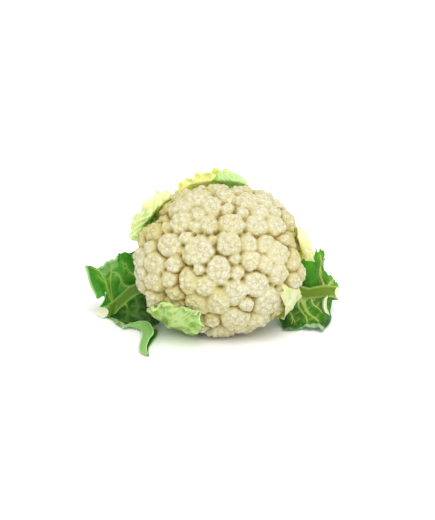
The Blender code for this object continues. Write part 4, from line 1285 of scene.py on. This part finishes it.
# %% Outer leaves: rolled margins
CURLS = {
    "outer_leaf_left": (
        ((-91.5, 19, 3), (-92, 18, 3), (-93, 15, 3.5), (-93, 15.5, 4), (-92.5, 15.5, 5)),
        ((-83, 21.5, 2.5), (-85, 20, 2.5), (-85.5, 19.5, 3.5), (-85, 19.5, 4.5), (-84, 20, 6)),
        ((-70, 10.5, 2), (-74, 13, 2), (-76.5, 18.5, 4.5), (-76, 18.5, 7), (-75, 18.5, 9)),
        ((-60.5, 14, 2.5), (-67, 6, 2), (-74, 8, 3), (-71, 8.5, 8), (-66.5, 12, 9.5)),
        ((-58.5, 3.5, 3), (-65.5, 0, 1.5), (-72.5, -3.5, 3), (-67, -8, 8), (-61.5, -6.5, 8)),
        ((-61.5, -10.5, 2.5), (-67.5, -14, 1.5), (-73, -15, 3), (-69, -19.5, 7), (-64.5, -16.5, 6.5)),
        ((-65, -25, 2), (-69.5, -26.5, 1.2), (-73.5, -26, 2.5), (-70, -30.5, 5.5), (-66.5, -29.5, 5.5)),
        ((-65, -35, 1.5), (-68, -37, 1), (-72, -36, 2), (-69.5, -38, 4), (-66, -38, 4)),
        ((-64, -42.5, 1.2), (-65, -43, 1), (-66, -43, 1.2), (-65.5, -43, 2), (-64.5, -43, 2)),
    ),
    "outer_leaf_right": (
        ((104.5, 56, 20), (104.5, 55, 20), (105, 54, 19.5), (105.5, 55, 19.5), (106, 56, 20)),
        ((100, 54, 16), (100.5, 50.5, 17.5), (102, 49, 19), (103.5, 50.5, 18.5), (104.5, 54, 17.5)),
        ((99.5, 52, 12.5), (99.5, 48, 14.5), (101, 46.5, 15), (103, 48, 14.5), (103.5, 51, 13.5)),
        ((99.5, 49, 8), (100, 45, 10), (101, 43.5, 11), (103, 45, 10.5), (104, 48, 9.5)),
        ((101.5, 47, 3.5), (102, 43, 5.5), (103, 41.5, 7), (105, 43, 7), (105.5, 46, 6.5)),
        ((105, 44, 1), (105, 43, 1.5), (105.5, 42.5, 2.5), (106.5, 43, 2.5), (106.5, 44, 2.5)),
    ),
}
CURL_GRID = (90, 31)
CURL_TEETH = 0.03
CURL_LINES = (0.95, 0.1)
CURL_LINE_FADE = 6
CURL_LINE_HALF = 0.3
# the curl's face: a fixed mix between the shade and blade colours, painted light and shade
CURL_TONE_AND_LIGHT = 0.35
LEAF_SHEEN = 0.25
CURL_LOOKS = {
    "outer_leaf_left": dict(OUTER_LOOKS["outer_leaf_left"], back="#86b864", vein="#c3e09c", ridge="#c3e09c"),
    "outer_leaf_right": dict(OUTER_LOOKS["outer_leaf_right"], back="#c6d6a0", vein="#eef0cc", ridge="#eef0cc"),
}


def make_curl(name):
    """The strip of margin that rolls over and shows the leaf's pale back."""
    u, v = np.meshgrid(*(np.linspace(a, 1, n) for a, n in zip((0, -1), CURL_GRID)), indexing="ij")
    sheet = stationed_sheet(dict(stations=CURLS[name], teeth=CURL_TEETH, phase=0), u, v)
    normals = grid_normals(sheet, np.array([0, -1, 0.3]))
    thin = (BLADE_HALF * (1 - 0.4 * np.abs(v)))[..., None]
    lines = CURL_LINE_FADE * np.minimum(*(np.abs(v - line) for line in CURL_LINES)) - CURL_LINE_HALF
    none = 0 * u
    attributes = {
        "vein": lines, "rib": none, "margin": none, "tone_and_light": CURL_TONE_AND_LIGHT + none, "pale": none, "fold": 1 + none,
    }
    skin = leaf_material(name + "_curl_tissue", CURL_LOOKS[name], 0.45, 0.2, 1.5 * MM, LEAF_SHEEN)
    made = leaf_object(name + "_curl", sheet - normals * thin, sheet + normals * thin, attributes, (skin, skin))
    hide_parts(name)
    return made


print("rolled margins:", len(CURLS))

# %% Outer leaves: making
OUTER_CRINKLE_SIZE = 11 * MM
OUTER_CRINKLE = 1.2 * MM
OUTER_RUFFLE = 1.3 * MM
OUTER_RUFFLE_WAVES = (8, 17)
RIB_CLEARANCE = 4 * MM
RIB_CURVE = 0.6
BAND_FADE = 2 * MM
FAINT_FROM = 0.15


def make_outer_leaf(name, leaf, look, number):
    """One outer leaf, made as the inner ones are, with pale bands and its rolled margin."""
    rng = np.random.default_rng(GROWTH_SEED + 100 + number)
    rows, columns = OUTER_GRID
    u, v = np.meshgrid(np.linspace(0, 1, rows), np.linspace(-1, 1, columns), indexing="ij")
    sheet = rolled_sheet(leaf, u, v)
    centre = sheet[:, columns // 2][:, None]
    spread = np.linalg.norm(sheet - centre, axis=-1)
    lines = [list(vein) for vein in OUTER_VEINS[name]]
    twigs = [twig for vein in lines for twig in branch(rng, vein, 1, 5, 0.09, 0.28)]
    vein = vein_distance(sheet, lines + twigs)
    normals = grid_normals(sheet, np.array([0, -1, 0.3]))
    clear = smooth_step((spread - OUTER_RIB_HALF) / RIB_CLEARANCE)
    puff = PUFF_HEIGHT * (1 - np.exp(-((np.maximum(vein, 0) / PUFF_WIDTH) ** 2))) * clear
    crinkle = np.array([noise.noise(Vector(p) / OUTER_CRINKLE_SIZE) for p in sheet.reshape(-1, 3)])
    crinkle = crinkle.reshape(u.shape)
    edge = smooth_step((np.abs(v) - 0.7) / 0.3) * smooth_step(u * 5) * smooth_step((1 - u) * 6)
    slow, fast = (2 * math.pi * waves * u for waves in OUTER_RUFFLE_WAVES)
    ruffle = OUTER_RUFFLE * edge * (np.sin(slow + 2 * np.sign(v)) + 0.5 * np.sin(fast))
    relief = puff + OUTER_CRINKLE * crinkle * clear + ruffle
    rise = 1 - np.clip(spread / OUTER_RIB_HALF, 0, 1) ** 2
    rib = OUTER_RIB * rise**RIB_CURVE
    half = BLADE_HALF * (1 - 0.5 * edge)
    crest = normals[:, columns // 2][:, None]
    front = sheet + normals * (relief + half)[..., None] + crest * (RIB_FRONT_SHARE * rib)[..., None]
    back = sheet + normals * (relief - half)[..., None] - crest * rib[..., None]
    slide = leaf["slant"] * MM * rise**RIB_CURVE * smooth_step((u - 0.8) / 0.2)
    front -= unit(centre[-1] - centre[-20]) * slide[..., None]
    pale = np.zeros(u.shape)
    for band, strength in PALE_BANDS[name]:
        pale = np.maximum(pale, strength * smooth_step(0.5 - vein_distance(sheet, [band]) / BAND_FADE))
    # tone and light here is painted light and shade across the leaf
    attributes = {
        "vein": vein / MM + leaf["faint"] * (v > FAINT_FROM), "rib": rise,
        "margin": 0.5 * smooth_step((np.abs(v) - 0.85) / 0.15),
        "tone_and_light": through(np.array(look["tone_and_light"])[:, None], (v + 1) / 2)[..., 0], "pale": pale, "fold": 1 + 0 * u,
    }
    skin = leaf_material(name + "_tissue", look, 0.4, 0.1, 1.5 * MM, LEAF_SHEEN)
    made = leaf_object(name + "_veined", front, back, attributes, (skin, cut_stalk))
    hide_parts(name)
    make_curl(name)
    return made


for number, (name, leaf) in enumerate(OUTER_LEAVES.items()):
    made = make_outer_leaf(name, leaf, OUTER_LOOKS[name], number)
    print(made.name, len(made.data.polygons), "faces")

# %% [markdown]
# ## Stem and leaf bases
# Behind the curd, the stem was cut clean across, and the stalks of the leaves that were trimmed off still clasp
# it. They are pale, firm and waxy, like a cabbage stalk.

# %% Stem
STEM_START = CURD_SEAT + 0.3 * MM
STEM_END = 78 * MM
STEM_SIDES = 120
STEM_ROWS = 60
STEM_RIPPLE = 0.8 * MM
STEM_CUT_BEVEL = 1.2 * MM
STEM_SWELL = ((0, 0.96), (0.18, 1.0), (0.5, 0.97), (0.78, 0.98), (1, 1.0))
STEM_FLUTES = 5
STEM_DISH = 0.5 * MM
STALK_STREAK = 9 * MM
STALK_GRAIN = 1.2 * MM


def stalk_material():
    """Waxy stalk: pale green with paler patches and a faint grain."""
    made, tree, shader = new_material("waxy_stalk")
    place = add_node(tree, "ShaderNodeTexCoord").outputs["Object"]
    streaks = add_node(tree, "ShaderNodeTexNoise", {"Vector": place, "Scale": 1 / STALK_STREAK, "Detail": 4.0})
    patchy = add_node(
        tree, "ShaderNodeMapRange", {"Value": streaks.outputs["Fac"], "From Min": 0.35, "From Max": 0.65}
    )
    colour = add_node(
        tree, "ShaderNodeMix",
        {MIX_FACTOR: patchy.outputs["Result"], MIX_A: linear("#c9d59a"), MIX_B: linear("#e2e8c4")},
        data_type="RGBA",
    )
    tree.links.new(colour.outputs[MIX_OUT], shader.inputs["Base Color"])
    fine = add_node(tree, "ShaderNodeTexNoise", {"Vector": place, "Scale": 1 / STALK_GRAIN, "Detail": 3.0})
    bump = add_node(tree, "ShaderNodeBump", {"Strength": 0.3, "Distance": 0.4 * MM, "Height": fine.outputs["Fac"]})
    tree.links.new(bump.outputs["Normal"], shader.inputs["Normal"])
    shader.inputs["Roughness"].default_value = 0.42
    shader.inputs["Subsurface Weight"].default_value = 0.25
    shader.inputs["Subsurface Scale"].default_value = 2 * MM
    return made


def make_stem(stalk):
    """Rings of a fluted stalk from its seat to the rounded edge of the cut, then rings across the cut."""
    turn = np.arange(STEM_SIDES) * 2 * math.pi / STEM_SIDES
    swell = np.array(STEM_SWELL)
    rings = []
    for t in np.linspace(0, 1, STEM_ROWS):
        back = STEM_START + (STEM_END - STEM_CUT_BEVEL - STEM_START) * t
        radius = STEM_RADIUS * np.interp(t, swell[:, 0], swell[:, 1])
        rings.append((np.full(STEM_SIDES, back), radius - STEM_RIPPLE * (1 + np.sin(STEM_FLUTES * turn + 0.6)) / 2))
    rim = rings[-1][1]
    for angle in np.linspace(0.3, math.pi / 2, 5):
        back = STEM_END - STEM_CUT_BEVEL * (1 - math.sin(angle))
        rings.append((np.full(STEM_SIDES, back), rim - STEM_CUT_BEVEL * (1 - math.cos(angle))))
    for share in np.linspace(0.92, 0.04, 16):
        dish = STEM_DISH * math.sin(9 * share) * share
        rings.append((np.full(STEM_SIDES, STEM_END - 0.3 * MM) - dish, (rim - STEM_CUT_BEVEL) * share))
    points = np.vstack([
        np.stack([radius * np.sin(turn), radius * np.cos(turn), -back], axis=1) for back, radius in rings
    ])
    grid = np.arange(len(points)).reshape(len(rings), STEM_SIDES)
    after = np.roll(grid, -1, axis=1)
    quads = np.stack([grid[:-1], after[:-1], after[1:], grid[1:]], axis=-1).reshape(-1, 4).tolist()
    faces = quads + [grid[0][::-1].tolist(), grid[-1].tolist()]
    mesh = bpy.data.meshes.new("stem_fluted")
    mesh.from_pydata(to_world(points).tolist(), [], faces)
    mesh.materials.append(stalk)
    mesh.materials.append(cut_stalk)
    first_cut = (STEM_ROWS + 3) * STEM_SIDES
    at_cut = [index >= first_cut and index != len(quads) for index in range(len(faces))]
    mesh.polygons.foreach_set("material_index", np.array(at_cut, np.int32))
    mesh.shade_smooth()
    mesh.set_sharp_from_angle(angle=math.radians(50))
    made = bpy.data.objects.new("stem_fluted", mesh)
    bpy.context.scene.collection.objects.link(made)
    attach(made, "root")
    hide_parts("stem")
    return made


waxy_stalk = stalk_material()
print("stem:", len(make_stem(waxy_stalk).data.polygons), "faces")

# %% Leaf bases
LEAF_BASES = {
    "leaf_base_lower_left": dict(clock=210, length=26),
    "leaf_base_lower_right": dict(clock=150, length=26),
    "leaf_base_upper_left": dict(clock=322, length=20),
    "leaf_base_upper_right": dict(clock=34, length=17),
}
BASE_GAP = 0.9 * MM
BASE_BACK = 61 * MM
BASE_LEAN = 5 * MM
BASE_HALF = 10 * MM
BASE_RIB = 4.5 * MM
BASE_GRID = (40, 41)


def base_sheet(base, u, v):
    """The middle sheet of a trimmed leaf's base, out from the stem and a little back."""
    ring = STEM_RADIUS + BASE_GAP + u * base["length"] * MM
    angle = math.radians(base["clock"]) + v * BASE_HALF * (1 - 0.12 * u) / (ring * (1 - 0.25 * u))
    back = BASE_BACK + BASE_LEAN * (smooth_step(u) + 0.5 * (v * v) * (1 - u))
    return to_world(np.stack([ring * np.sin(angle), ring * np.cos(angle), -back], axis=-1))


def make_leaf_base(name, base):
    """A stout, fluted piece of leaf stalk that ends in a cut."""
    rows, columns = BASE_GRID
    u, v = np.meshgrid(np.linspace(0, 1, rows), np.linspace(-1, 1, columns), indexing="ij")
    sheet = base_sheet(base, u, v)
    normals = grid_normals(sheet, CROWN)
    crest = normals[:, columns // 2][:, None]
    rib = BASE_RIB * np.sqrt(np.clip(1 - (v / 1.05) ** 2, 0, 1)) * (1 - 0.2 * u)
    flutes = 0.25 * MM * np.cos(14 * v) * smooth_step(u * 5)
    front = sheet + normals * (BLADE_HALF + flutes)[..., None] + crest * (0.3 * rib)[..., None]
    back = sheet - normals * (BLADE_HALF + flutes)[..., None] - crest * rib[..., None]
    made = leaf_object(name + "_trimmed", front, back, {}, (waxy_stalk, cut_stalk))
    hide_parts(name)
    return made


for name, base in LEAF_BASES.items():
    print(make_leaf_base(name, base).name)

# %% [markdown]
# ## Floor, light and camera
# The photograph has a white table and soft light from all round, a little stronger from above in front. A white
# world gives the first, and a large area light the second. The table has no edge in the photograph and fades to
# pure white a little way from the head. A faint glow that grows with the distance from the head does that: it is
# painted light, and where it is weaker, near the head, it leaves a painted shadow round the head. The plane is so
# large that no view shows its edge. The camera looks down by 20 degrees.

# %% Floor
FLOOR_SIZE = 40.0
FLOOR_GLOW = 0.2
GLOW_STARTS = 0.09
GLOW_IS_FULL = 0.3


def make_floor():
    """A plane just under the head, of matt white that glows a little away from it: painted light."""
    bpy.ops.mesh.primitive_plane_add(size=FLOOR_SIZE, location=(0, 0, -0.2 * MM))
    floor = bpy.context.object
    floor.name = "pale_floor"
    made, tree, shader = new_material("matt_white_table")
    place = add_node(tree, "ShaderNodeTexCoord").outputs["Object"]
    cloud = add_node(tree, "ShaderNodeTexNoise", {"Vector": place, "Scale": 3.0})
    colour = add_node(
        tree, "ShaderNodeMix",
        {MIX_FACTOR: cloud.outputs["Fac"], MIX_A: linear("#fafafa"), MIX_B: linear("#fcfcfc")}, data_type="RGBA",
    )
    tree.links.new(colour.outputs[MIX_OUT], shader.inputs["Base Color"])
    shader.inputs["Roughness"].default_value = 0.9
    shader.inputs["Specular IOR Level"].default_value = 0.1
    away = add_node(tree, "ShaderNodeVectorMath", {0: place}, operation="LENGTH")
    # painted light: the table glows more the farther it is from the head, which leaves a painted shadow round the
    # head
    glow = add_node(
        tree, "ShaderNodeMapRange",
        {
            "Value": away.outputs["Value"], "From Min": GLOW_STARTS, "From Max": GLOW_IS_FULL,
            "To Min": 0.0, "To Max": FLOOR_GLOW,
        },
        interpolation_type="SMOOTHSTEP",
    )
    shader.inputs["Emission Color"].default_value = (1, 1, 1, 1)
    tree.links.new(glow.outputs["Result"], shader.inputs["Emission Strength"])
    floor.data.materials.append(made)
    return floor


print("floor:", make_floor().name)

# %% Light and camera
WORLD_STRENGTH = 0.8
KEY_PLACE = (0.3, -0.95, 1.7)
KEY_POWER = 24
KEY_SIZE = 1.3
CAMERA_DISTANCE = 1.10
CAMERA_ELEVATION = math.radians(20)
CAMERA_LENS = 80.7
PHOTO_HEIGHT = 520
AIM_OFF_RIGHT = 217.5 - 220.1
AIM_OFF_DOWN = 259.7 - 260

world = bpy.data.worlds.new("studio")
world.use_nodes = True
world.node_tree.nodes["Background"].inputs["Color"].default_value = (1, 1, 1, 1)
world.node_tree.nodes["Background"].inputs["Strength"].default_value = WORLD_STRENGTH
bpy.context.scene.world = world
bpy.context.scene.view_settings.view_transform = "Standard"

key = bpy.data.objects.new("key", bpy.data.lights.new("key", "AREA"))
key.data.energy = KEY_POWER
key.data.size = KEY_SIZE
key.location = KEY_PLACE
key.rotation_euler = (Vector(HEAD_CENTRE) - Vector(KEY_PLACE)).to_track_quat("-Z", "Y").to_euler()
bpy.context.scene.collection.objects.link(key)

camera = bpy.data.objects.new("camera", bpy.data.cameras.new("camera"))
camera.data.lens = CAMERA_LENS
camera.data.sensor_width = 36
camera.data.shift_x = AIM_OFF_RIGHT / PHOTO_HEIGHT
camera.data.shift_y = AIM_OFF_DOWN / PHOTO_HEIGHT
looking_back = Vector((0, -math.cos(CAMERA_ELEVATION), math.sin(CAMERA_ELEVATION)))
camera.location = Vector(HEAD_CENTRE) + CAMERA_DISTANCE * looking_back
camera.rotation_euler = (-looking_back).to_track_quat("-Z", "Y").to_euler()
bpy.context.scene.collection.objects.link(camera)
bpy.context.scene.camera = camera
print("camera at", [round(c, 3) for c in camera.location])
